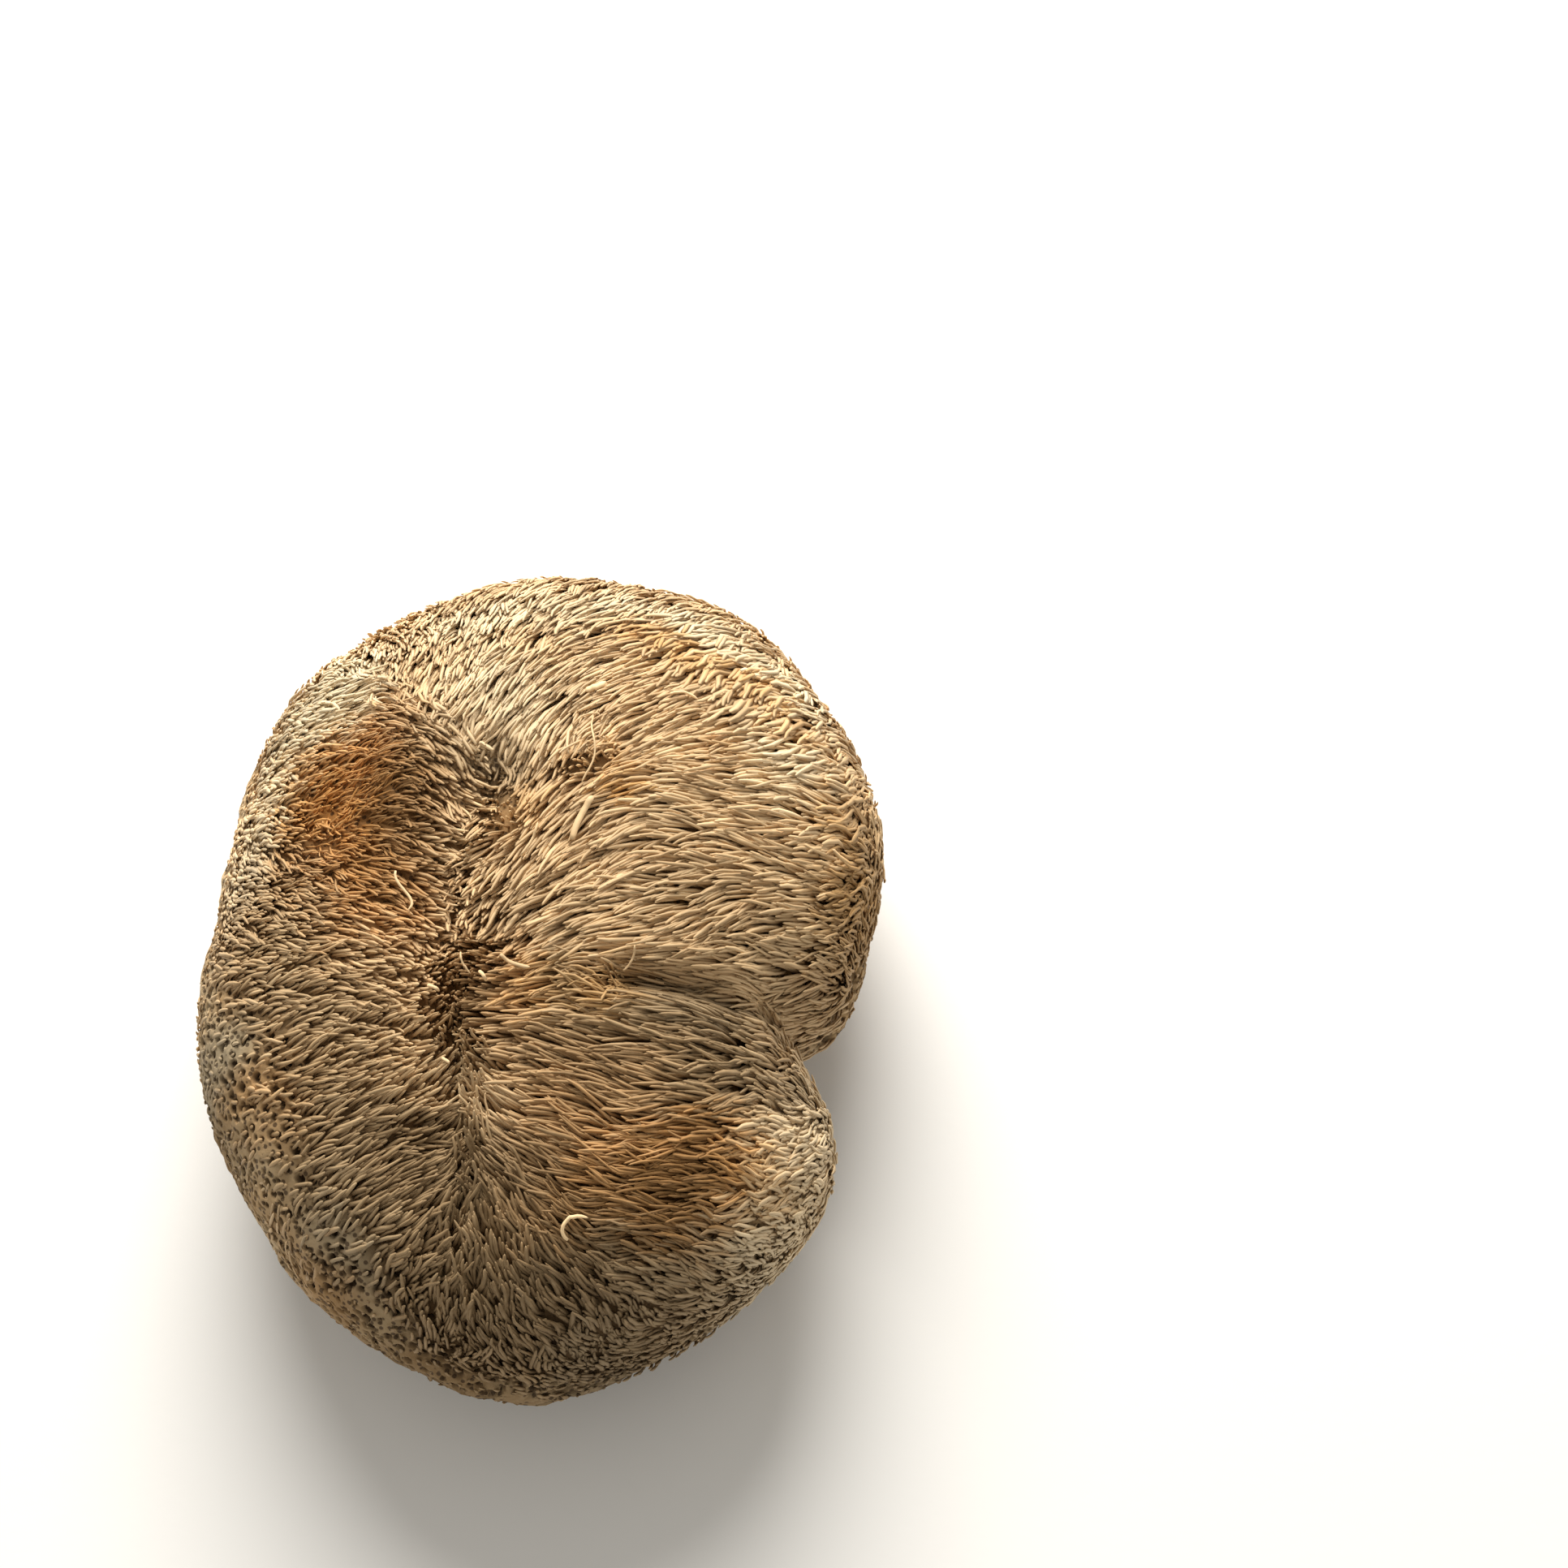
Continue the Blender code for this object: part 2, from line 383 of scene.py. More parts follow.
@dataclass(frozen=True)
class Comb:
    """Which way the spines lie: towards the hub, and upright near it. Places are in mm.

    Attributes:
        pulls: the lines that the spines lie towards, each after its weight.
        turns: where the comb swerves from the way that the pulls give it.
        climb: how much the comb climbs where the flesh is steep.
        stands: where spines stand on end: how much, how far around, and along which line.
        lean_step: how much further off a line counts where the spines don't stand at all.
    """

    pulls: tuple[tuple[float, tuple[tuple[float, float], ...]], ...] = (
        (1.0, ((-7, -12), (-8, -20), (-5, -29), (-5, -33))),
        (0.5, ((-5, -33), (-5, -40), (-4, -46))),
        (0.25, ((-5, 20), (-5, 14), (-9, 4), (-9, -6), (-7, -12))),
        (0.15, ((-30, 38), (-20, 32), (-12, 25), (-6, 20))),
    )
    pull_spacing: float = 1.0
    pull_power: float = 1.6
    pull_core: float = 1.0
    turns: tuple[Turn, ...] = (
        Turn(22, -43, 13, 40),
        Turn(13, -50, 12, 20),
        Turn(35, -36, 10, 35),
        Turn(28, -8, 9, 25),
        Turn(1, -8, 9, 20),
        Turn(0, 8, 9, 35),
        Turn(4, 19, 7, 25),
        Turn(24, 10, 10, -35),
        Turn(10, 40, 12, -20),
        Turn(10, 64, 9, 25),
        Turn(-8, 61, 9, -20),
        Turn(-17, 25, 7, -25),
        Turn(-24, 16, 8, 30),
        Turn(-44, -5, 16, -15),
        Turn(-32, -38, 7, -20),
        Turn(-17, -44, 16, -25),
        Turn(-14, -53, 7, -20),
        Turn(-38, -53, 12, 20),
        Turn(-8, -68, 7, -25),
        Turn(-17, -65, 7, 15),
    )
    climb: float = 0.7
    stands: tuple[tuple[float, float, tuple[tuple[float, float], ...]], ...] = (
        (1.0, 5.8, ((-5, -12), (-8, -15), (-8, -21), (-5, -28))),
        (0.35, 2.4, ((-8, 20), (-7, 17), (-3, 11))),
        (0.45, 2.6, ((-9, 8), (-9, -6))),
        (0.65, 2.6, ((-5, -30), (-5, -38), (-4, -46))),
    )
    lean_reach: float = 15.0
    lean_step: float = 18.0

    def pull_points(self) -> tuple[Array, Array]:
        """Spaces points along the lines that the spines lie towards.

        Returns:
            (n, 2) points in mm, and their weights.
        """
        points, weights = [], []
        for weight, line in self.pulls:
            for first, second in zip(line, line[1:]):
                count = max(2, int(math.dist(first, second) / self.pull_spacing))
                shares = np.linspace(0, 1, count, endpoint=False)[:, None]
                points.append(np.array(first) + shares * np.subtract(second, first))
                weights.append(np.full(count, weight))
            points.append(np.array([line[-1]], float))
            weights.append(np.array([weight]))
        return np.concatenate(points), np.concatenate(weights)

    def headings(self, spots: Array) -> Array:
        """Which way the spines lie, seen from above.

        Args:
            spots: (n, 2) places.

        Returns:
            (n, 2) vectors of length 1.
        """
        points, weights = self.pull_points()
        ways = points[None] - spots[:, None] / MM
        gaps = np.linalg.norm(ways, axis=2) + self.pull_core
        pull = (ways * (weights / gaps ** (self.pull_power + 1))[..., None]).sum(axis=1)
        angle = np.arctan2(pull[:, 1], pull[:, 0])
        for turn in self.turns:
            gap = np.hypot(spots[:, 0] / MM - turn.x, spots[:, 1] / MM - turn.y)
            angle += math.radians(turn.degrees) * bell(gap, turn.reach)
        return np.stack([np.cos(angle), np.sin(angle)], axis=1)

    def tangents(self, points: Array, aside: Array, normals: Array) -> Array:
        """The comb laid on the flesh: it also climbs where the flesh is steep.

        Args:
            points: (n, 3) places on the flesh.
            aside: how far off each of them reads its heading.
            normals: directions out of the flesh.

        Returns:
            (n, 3) vectors of length 1.
        """
        spots = (points + aside)[:, :2]
        headings = np.column_stack([self.headings(spots), np.full(len(points), self.climb)])
        return unit(headings - normals * dot(headings, normals))

    def uprightness(self, points: Array) -> Array:
        """How much the spines stand on end.

        Args:
            points: (n, 3) places on the flesh.

        Returns:
            1 where they stand on end, 0 where they lie over.
        """
        spots = points[:, :2] / MM
        shares = []
        for share, reach, line in self.stands:
            shares.append(share * bell(line_distance(line, spots), reach))
        return np.max(shares, axis=0)

    def leaning(self, points: Array) -> Array:
        """How steep the spines are that don't stand on end.

        Args:
            points: (n, 3) places on the flesh.

        Returns:
            1 by the hub, less where they lie over more, away from it.
        """
        spots = points[:, :2] / MM
        gaps = []
        for share, _, line in self.stands:
            gaps.append(line_distance(line, spots) + self.lean_step * (1 - share))
        return bell(np.min(gaps, axis=0), self.lean_reach)


class Stain(Enum):
    """The colours that patches of the body have, umber partly painted shade. Each value is the name
    of its attribute.
    """

    RUST = "rust"
    OCHRE = "ochre"
    CREAM = "cream"
    GREY = "grey"
    # umber: a brown stain in places, and painted shade over the front third, in the crevice and
    # along the crease
    UMBER = "umber"


@dataclass(frozen=True)
class Oval:
    """A soft-edged oval on the body, in mm, seen from above; its long reach is at the angle.

    Attributes:
        core: the share of its reach within which it is full.
        rim: the share of its reach at which it has faded away.
    """

    core: ClassVar[float] = 0.35
    rim: ClassVar[float] = 1.35

    x: float
    y: float
    long: float
    short: float
    angle: float = 0.0

    def weight(self, spots: Array) -> Array:
        """How much spots belong to it.

        Args:
            spots: (n, 2) places in mm.

        Returns:
            0 to 1 for each spot.
        """
        turn = math.radians(self.angle)
        off = spots - (self.x, self.y)
        along = off[:, 0] * math.cos(turn) + off[:, 1] * math.sin(turn)
        across = off[:, 1] * math.cos(turn) - off[:, 0] * math.sin(turn)
        reach = np.hypot(along / self.long, across / self.short)
        return smooth_step(-reach, -self.rim, -self.core)


@dataclass(frozen=True)
class Patch(Oval):
    """Where one colour lies on the body."""

    stain: Stain = Stain.RUST
    strength: float = 1.0


@dataclass(frozen=True)
class StainMap:
    """Where every colour lies on the body.

    Attributes:
        patches: the patches, those of one colour adding up where they overlap.
        wander: how far their edges wander, in mm, in lumps of the wander's size.
    """

    patches: tuple[Patch, ...] = (
        Patch(-28.5, 14, 18, 10.5, 82, Stain.RUST, 0.85),
        Patch(-37, 17, 12, 6, 80, Stain.OCHRE, 0.75),
        Patch(-8, 37, 12, 7, -60, Stain.CREAM, 0.5),
        Patch(-21, 11, 15, 8, 75, Stain.RUST, 0.6),
        Patch(-22, -3, 11, 8, 30, Stain.RUST, 0.6),
        Patch(25, -43, 12, 7, 70, Stain.RUST, 0.95),
        Patch(25, -44, 11, 6, 70, Stain.UMBER, 0.68),
        Patch(18, -44, 14, 10, 0, Stain.RUST, 0.7),
        Patch(6, -45, 13, 9, 80, Stain.RUST, 0.4),
        Patch(10, -30, 14, 8, 0, Stain.RUST, 0.35),
        Patch(-38, -33, 10, 6, -40, Stain.RUST, 0.3),
        Patch(-30, -57, 8, 4, -40, Stain.RUST, 0.35),
        Patch(-6, -16, 11, 9, 90, Stain.RUST, 0.35),
        Patch(18, 45, 12, 4, -35, Stain.OCHRE, 0.7),
        Patch(30, 23, 8, 3, -20, Stain.OCHRE, 0.25),
        Patch(35, 18, 8, 4, -25, Stain.CREAM, 0.35),
        Patch(46, 17, 6, 3, -80, Stain.OCHRE, 0.7),
        Patch(50, 6, 9, 4, 80, Stain.OCHRE, 0.6),
        Patch(35, 38, 14, 4, -45, Stain.OCHRE, 0.6),
        Patch(33, -44, 6, 5, 0, Stain.OCHRE, 0.5),
        Patch(14, 17, 5, 3, 20, Stain.OCHRE, 0.9),
        Patch(-2, 13, 4, 5, 0, Stain.OCHRE, 0.4),
        Patch(10.5, 21, 6.5, 4, 15, Stain.OCHRE, 0.4),
        Patch(5, -17, 9, 6, 0, Stain.OCHRE, 0.55),
        Patch(14, -16, 5, 4, 0, Stain.OCHRE, 0.7),
        Patch(11, 53, 14, 6, -10, Stain.CREAM, 0.6),
        Patch(26, 50, 11, 4, -35, Stain.CREAM, 0.8),
        Patch(40, 40, 10, 5, -55, Stain.CREAM, 0.8),
        Patch(37, 25, 7, 3, -30, Stain.CREAM, 0.7),
        Patch(45, 22, 5, 4, -60, Stain.CREAM, 0.6),
        Patch(-12, 52, 12, 6, 20, Stain.CREAM, 0.7),
        Patch(2, 30, 14, 7, 60, Stain.CREAM, 0.25),
        Patch(-45, 14, 18, 5, 80, Stain.CREAM, 0.6),
        Patch(-36, 36, 15, 9, 60, Stain.CREAM, 1.0),
        Patch(42, -41, 14, 8, 75, Stain.CREAM, 0.33),
        Patch(37, -52, 9, 7, 45, Stain.CREAM, 0.5),
        Patch(43, -32, 11, 6, 90, Stain.CREAM, 0.4),
        Patch(-48, -25, 8, 7, 80, Stain.GREY, 0.9),
        Patch(-26, -54, 9, 6, -40, Stain.GREY, 0.8),
        Patch(-43, 32, 10, 6, 60, Stain.GREY, 0.25),
        Patch(24, -18, 11, 3.5, -5, Stain.GREY, 0.6),
        Patch(14, -61, 20, 10, 0, Stain.GREY, 0.35),
        Patch(12, -67, 9, 4, 15, Stain.GREY, 0.6),
        Patch(-22, -45, 18, 10, -20, Stain.GREY, 0.15),
        Patch(33, -57, 12, 8, 30, Stain.GREY, 0.4),
        Patch(-9, -16, 10, 7, 60, Stain.UMBER, 0.34),
        Patch(-7, -24, 9, 5, 90, Stain.UMBER, 0.45),
        Patch(-20, 15, 14, 8, 72, Stain.UMBER, 0.72),
        # painted shade along the crease
        Patch(23, -16.2, 14, 2.6, -4, Stain.UMBER, 0.9),
        # painted shade in the crevice
        Patch(-6, 20, 6, 3.5, -60, Stain.UMBER, 0.75),
        Patch(-1, -4, 8, 5, 40, Stain.UMBER, 0.35),
        Patch(-10, 30, 10, 7, -50, Stain.CREAM, 0.6),
        Patch(-10, 28, 10, 6, -50, Stain.OCHRE, 0.2),
        Patch(25, -20, 15, 5, -6, Stain.UMBER, 0.7),
        Patch(20, -24, 13, 5, -5, Stain.UMBER, 0.5),
        Patch(35, -27, 10, 6, -10, Stain.UMBER, 0.65),
        Patch(18, -31, 22, 7, 0, Stain.UMBER, 0.55),
        Patch(7, -13, 10, 3.5, 88, Stain.UMBER, 0.5),
        Patch(7, -26, 9, 6, 0, Stain.UMBER, 0.5),
        Patch(42, -14, 10, 8, 0, Stain.UMBER, 0.2),
        Patch(30, -3, 18, 9, 0, Stain.UMBER, 0.3),
        Patch(17, 11, 14, 7, 0, Stain.UMBER, 0.16),
        # painted shade over the front third, which faces away from the key light
        Patch(0, -68, 44, 17, 0, Stain.UMBER, 0.78),
        Patch(1, -52, 26, 15, 0, Stain.UMBER, 0.68),
        Patch(-6, -43, 14, 8, 0, Stain.UMBER, 0.7),
        Patch(-38, -48, 26, 9, -55, Stain.UMBER, 0.3),
        Patch(-48, -35, 10, 7, -70, Stain.UMBER, 0.45),
        Patch(-27, -40, 18, 12, -20, Stain.UMBER, 0.58),
        Patch(-27, -23, 11, 8, 0, Stain.UMBER, 0.34),
        Patch(21, -47, 12, 10, 20, Stain.UMBER, 0.34),
        Patch(26, -33, 10, 5, 0, Stain.UMBER, 0.4),
        Patch(-42, -8, 17, 22, 0, Stain.UMBER, 0.38),
        Patch(-17, 3, 10, 7, 40, Stain.UMBER, 0.4),
        Patch(52, 3, 20, 7, 88, Stain.UMBER, 0.54),
        Patch(52, 3, 20, 7, 88, Stain.OCHRE, 0.5),
        Patch(38, -57, 12, 7, 45, Stain.UMBER, 0.15),
        Patch(42, -36, 14, 8, 80, Stain.UMBER, 0.2),
    )
    wander: float = 2.2
    wander_size: float = 7 * MM
    wander_seed: int = 60

    def weights(self, points: Array, stain: Stain) -> Array:
        """How strongly one colour shows.

        Args:
            points: (n, 3) places on the body.
            stain: the colour.

        Returns:
            0 to 1 for each point.
        """
        seeds = (self.wander_seed, self.wander_seed + 1)
        noises = [soft_noise(points, self.wander_size, seed) for seed in seeds]
        spots = points[:, :2] / MM + np.stack(noises, axis=1) * self.wander
        left = np.ones(len(points))
        for patch in self.patches:
            if patch.stain is stain:
                left *= 1 - patch.strength * patch.weight(spots)
        return 1 - left


@dataclass(frozen=True)
class Tract(Oval):
    """Where the coat differs: factors of its sizes, and degrees that are added."""

    spacing: float = 1.0
    cover: float = 1.0
    length: float = 1.0
    girth: float = 1.0
    flatness: float = 1.0
    # shade scales the painted shade at the spines' roots and on the flesh under them
    shade: float = 1.0
    lie: float = 0.0
    mess: float = 0.0
    wave: float = 0.0


@dataclass(frozen=True)
class TractMap:
    """Where every kind of coat lies on the body."""

    tracts: tuple[Tract, ...] = (
        Tract(-8, -14, 9, 7, 100, spacing=0.86, mess=8),
        Tract(-6, -26, 8, 6, 90, spacing=0.9, mess=8),
        Tract(-2, 42, 46, 32, -8, shade=0.6),
        Tract(22, 8, 34, 44, 0, spacing=1.1, girth=1.13),
        Tract(-32, -6, 26, 58, 0, cover=0.8, length=0.8, girth=0.9, shade=0.75, lie=8, mess=4),
        Tract(-22, 18, 20, 15, 60, cover=0.9, lie=6, mess=7, shade=0.75),
        Tract(-12, 28, 14, 9, -35, cover=0.85, girth=1.2, shade=0.2, lie=-5, mess=2),
        Tract(
            0, -63, 48, 13, 0,
            cover=0.9, length=0.8, girth=1.1, shade=0.7, lie=8, mess=9, wave=8,
        ),
        Tract(
            42, -40, 18, 12, 78,
            spacing=0.9, cover=0.36, length=0.72, flatness=1.5, shade=0.5, lie=-6, wave=11, mess=10,
        ),
        Tract(0, 62, 46, 9, 0, cover=0.7, flatness=1.3, lie=-9, shade=0.7),
        Tract(-14, 50, 24, 12, 10, spacing=0.9, length=0.9, girth=1.1, shade=0.4),
        Tract(24, -17.4, 14, 3.2, -4, cover=0.36, shade=1.5, lie=-5),
        Tract(22, -61, 28, 5, 22, cover=0.6, length=0.75, lie=-6, mess=-6),
        Tract(-4, 18, 6, 3, -65, spacing=1.6, cover=0.45),
        Tract(15, 51, 15, 7, -15, cover=0.75, flatness=1.6, shade=0.4, lie=-3, mess=7, wave=10),
        Tract(
            35, 40, 20, 10, -48,
            cover=0.65, girth=1.15, flatness=1.9, shade=0.35, lie=-9, mess=9, wave=17,
        ),
        Tract(50, 14, 14, 7, -78, cover=0.6, flatness=1.6, shade=0.5, lie=-9, mess=9, wave=11),
        Tract(
            52, -6, 13, 6, 90,
            spacing=0.9, cover=0.5, girth=0.85, shade=0.8, lie=-5, mess=24, wave=14,
        ),
        Tract(54, 4, 26, 4, 88, spacing=0.9, cover=0.5, girth=0.95, lie=8, mess=34, wave=34),
        Tract(-28, 12, 16, 10, 80, girth=0.8, mess=10, wave=5),
        Tract(24, -44, 15, 11, 20, girth=0.8, cover=0.8, mess=10, wave=5),
        Tract(15, -17, 6, 4.5, 0, girth=0.75, mess=36, wave=10),
        Tract(10.5, 21, 5.5, 3.5, 15, cover=0.5, lie=60, mess=30),
        Tract(-2, 13.5, 4, 5, 0, cover=0.35, lie=60, mess=30),
        Tract(
            -42, 26, 26, 9, 70,
            spacing=0.88, cover=0.5, length=0.9, girth=1.1, flatness=1.5, shade=0.15, lie=-5,
            mess=5,
        ),
        Tract(-46, -4, 26, 8, 90, cover=0.55, flatness=1.2, shade=0.7, lie=-10),
        Tract(-34, -42, 20, 9, -50, cover=0.6, flatness=1.2, lie=-6),
    )

    def read(self, points: Array, name: str) -> Array:
        """Reads one number of the coat: factors multiply, degrees add up.

        Args:
            points: (n, 3) places on the body.
            name: the number's name in a tract.

        Returns:
            The number at each point.
        """
        factor = getattr(Tract, name) == 1.0
        total = np.full(len(points), 1.0 if factor else 0.0)
        for tract in self.tracts:
            weight = tract.weight(points[:, :2] / MM)
            value = getattr(tract, name)
            total = total * (1 + (value - 1) * weight) if factor else total + value * weight
        return total


@dataclass(frozen=True)
class Margin:
    """How far up the sides the flesh is nearly bare, in mm above the table.

    Attributes:
        heights: the margin's upper edge at even angles, anticlockwise from +X.
        softness: half the height over which it fades.
        wander: how far its edge wanders, in lumps of the wander's size.
        swelling: how far the flesh stands above the form where it is bare.
        swelling_rise: the heights above the table between which the swelling grows.
    """

    heights: tuple[float, ...] = (28, 27, 27, 28, 33, 38, 39, 48, 45, 31, 24, 22)
    softness: float = 5.0
    wander: float = 3.0
    wander_size: float = 9 * MM
    wander_seed: int = 5
    swelling: float = 2.6 * MM
    swelling_rise: tuple[float, float] = (6 * MM, 18 * MM)

    def bareness(self, points: Array) -> Array:
        """How bare the flesh is.

        Args:
            points: (n, 3) places on the flesh.

        Returns:
            1 where it is bare and porous, 0 under the full coat of spines.
        """
        edge = closed_curve(self.heights, np.arctan2(points[:, 1], points[:, 0]))
        edge = edge + self.wander * soft_noise(points, self.wander_size, self.wander_seed)
        return smooth_step(edge - points[:, 2] / MM, -self.softness, self.softness)

    def lift(self, points: Array, bare: Array, cover: Array) -> Array:
        """How far the flesh stands above the form where the coat is low or missing.

        Args:
            points: (n, 3) places on the form.
            bare: how bare the flesh is there.
            cover: how high the coat is there, as a share of its full height.

        Returns:
            The height at each point.
        """
        low = bare + (1 - bare) * np.clip(1 - cover, 0, 1)
        return self.swelling * low * smooth_step(points[:, 2], *self.swelling_rise)


@dataclass
class SpinePattern:
    """One spine of radius 1 and length 1, closed at both ends, that every spine is drawn from.

    Attributes:
        sides: how many flat sides it has.
        stations: where its rings are along it.
        girth: its radius at each ring.
        corners: (k, 2) place of each vertex across the spine.
        rings: the ring of each vertex; the last one is the point of the tip.
        loops: the vertices of all faces, one face after the other.
        starts: where each face starts in the loops.
        map: (l, 2) place of each loop in the spine's own strip of the map.
    """

    sides: int = 4
    stations: tuple[float, ...] = (0.0, 0.34, 0.62, 0.84, 0.96)
    girth: tuple[float, ...] = (0.9, 1.0, 1.0, 0.92, 0.58)
    corners: Array = field(init=False)
    rings: Array = field(init=False)
    loops: Array = field(init=False)
    starts: Array = field(init=False)
    map: Array = field(init=False)

    def __post_init__(self) -> None:
        """Draws the pattern."""
        bm = bmesh.new()
        bmesh.ops.create_cone(
            bm, cap_ends=True, segments=self.sides, radius1=1.0, radius2=1.0, depth=1.0
        )
        bmesh.ops.translate(bm, vec=(0, 0, 0.5), verts=bm.verts[:])
        bmesh.ops.scale(bm, vec=(1, 1, self.stations[-1]), verts=bm.verts[:])
        for station in self.stations[1:-1]:
            geometry = bm.verts[:] + bm.edges[:] + bm.faces[:]
            bmesh.ops.bisect_plane(bm, geom=geometry, plane_co=(0, 0, station), plane_no=(0, 0, 1))
        top = max(bm.faces, key=lambda face: face.calc_center_median().z)
        point = bmesh.ops.poke(bm, faces=[top])["verts"][0]
        point.co.z = 1.0
        bmesh.ops.recalc_face_normals(bm, faces=bm.faces[:])
        bm.verts.index_update()
        heights = np.array([vert.co.z for vert in bm.verts])
        stops = np.array([*self.stations, 1.0])
        self.rings = np.abs(heights[:, None] - stops).argmin(axis=1)
        self.corners = np.array([vert.co.xy for vert in bm.verts])
        loops, starts, places = [], [], []
        for face in bm.faces:
            starts.append(len(loops))
            middle = face.calc_center_median()
            turned = math.atan2(middle.y, middle.x)
            for vert in face.verts:
                loops.append(vert.index)
                at_point = vert.co.xy.length < 0.1
                across = turned if at_point else math.atan2(vert.co.y, vert.co.x)
                around = turned + math.remainder(across - turned, math.tau)
                places.append((vert.co.z, around / math.tau + 0.5))
        self.loops, self.starts, self.map = np.array(loops), np.array(starts), np.array(places)
        self.map[:, 1] = (self.map[:, 1] - self.map[:, 1].min()) / np.ptp(self.map[:, 1])
        bm.free()

    @property
    def ring_count(self) -> int:
        """How many rings there are, the point of the tip included."""
        return len(self.stations) + 1

    @property
    def places(self) -> Array:
        """The rings' places along the spine, the tip included."""
        return np.array([*self.stations, 1.0])


@dataclass
class SpineBatch:
    """Many spines whose lines and girths are settled, ready to be made into meshes.

    Attributes:
        lines: (n, rings, 3) middle of each ring.
        across: (n, rings, 3) sideways direction at each ring.
        girth: (n,) radius of each spine.
        flatness: (n,) how much wider than thick each spine is.
        tone: (n,) lightness of each spine, around 0.5.
        depth: (n,) how deep the painted shade at each spine's root is, from 0 to 1.
        stray: (n, 3) how far off each spine takes its stains from.
    """

    lines: Array
    across: Array
    girth: Array
    flatness: Array
    tone: Array
    depth: Array
    stray: Array

    def picked(self, index: Array) -> "SpineBatch":
        """The batch with only the spines of this index."""
        values = [getattr(self, each.name)[index] for each in dataclasses.fields(self)]
        return SpineBatch(*values)

    def skins(self, pattern: SpinePattern) -> Array:
        """Puts a skin around each spine's line.

        Args:
            pattern: what the spines are drawn from.

        Returns:
            (n, k, 3) vertices of the spines.
        """
        tangents = unit(np.gradient(self.lines, axis=1))
        across = unit(self.across - tangents * dot(self.across, tangents))
        upwards = np.cross(tangents, across)
        girth = np.array([*pattern.girth, 0.0])[pattern.rings]
        wide = (self.girth * np.sqrt(self.flatness))[:, None] * girth * pattern.corners[:, 0]
        thick = (self.girth / np.sqrt(self.flatness))[:, None] * girth * pattern.corners[:, 1]
        rings = pattern.rings
        middle = self.lines[:, rings]
        return middle + wide[..., None] * across[:, rings] + thick[..., None] * upwards[:, rings]


@dataclass
class Chance:
    """What differs by chance from spine to spine.

    Attributes:
        heads: the spine at the middle of each bundle.
        bundle: (n,) which bundle each spine belongs to.
        shared: (3, n) numbers around 0 that the spines of a bundle have in common.
        own: (6, n) numbers around 0 of each spine's own.
        aside: (n, 3) how far off each spine reads its heading.
        over: (n,) 1 for a spine that lies on top of the others, else 0.
    """

    heads: Array
    bundle: Array
    shared: Array
    own: Array
    aside: Array
    over: Array


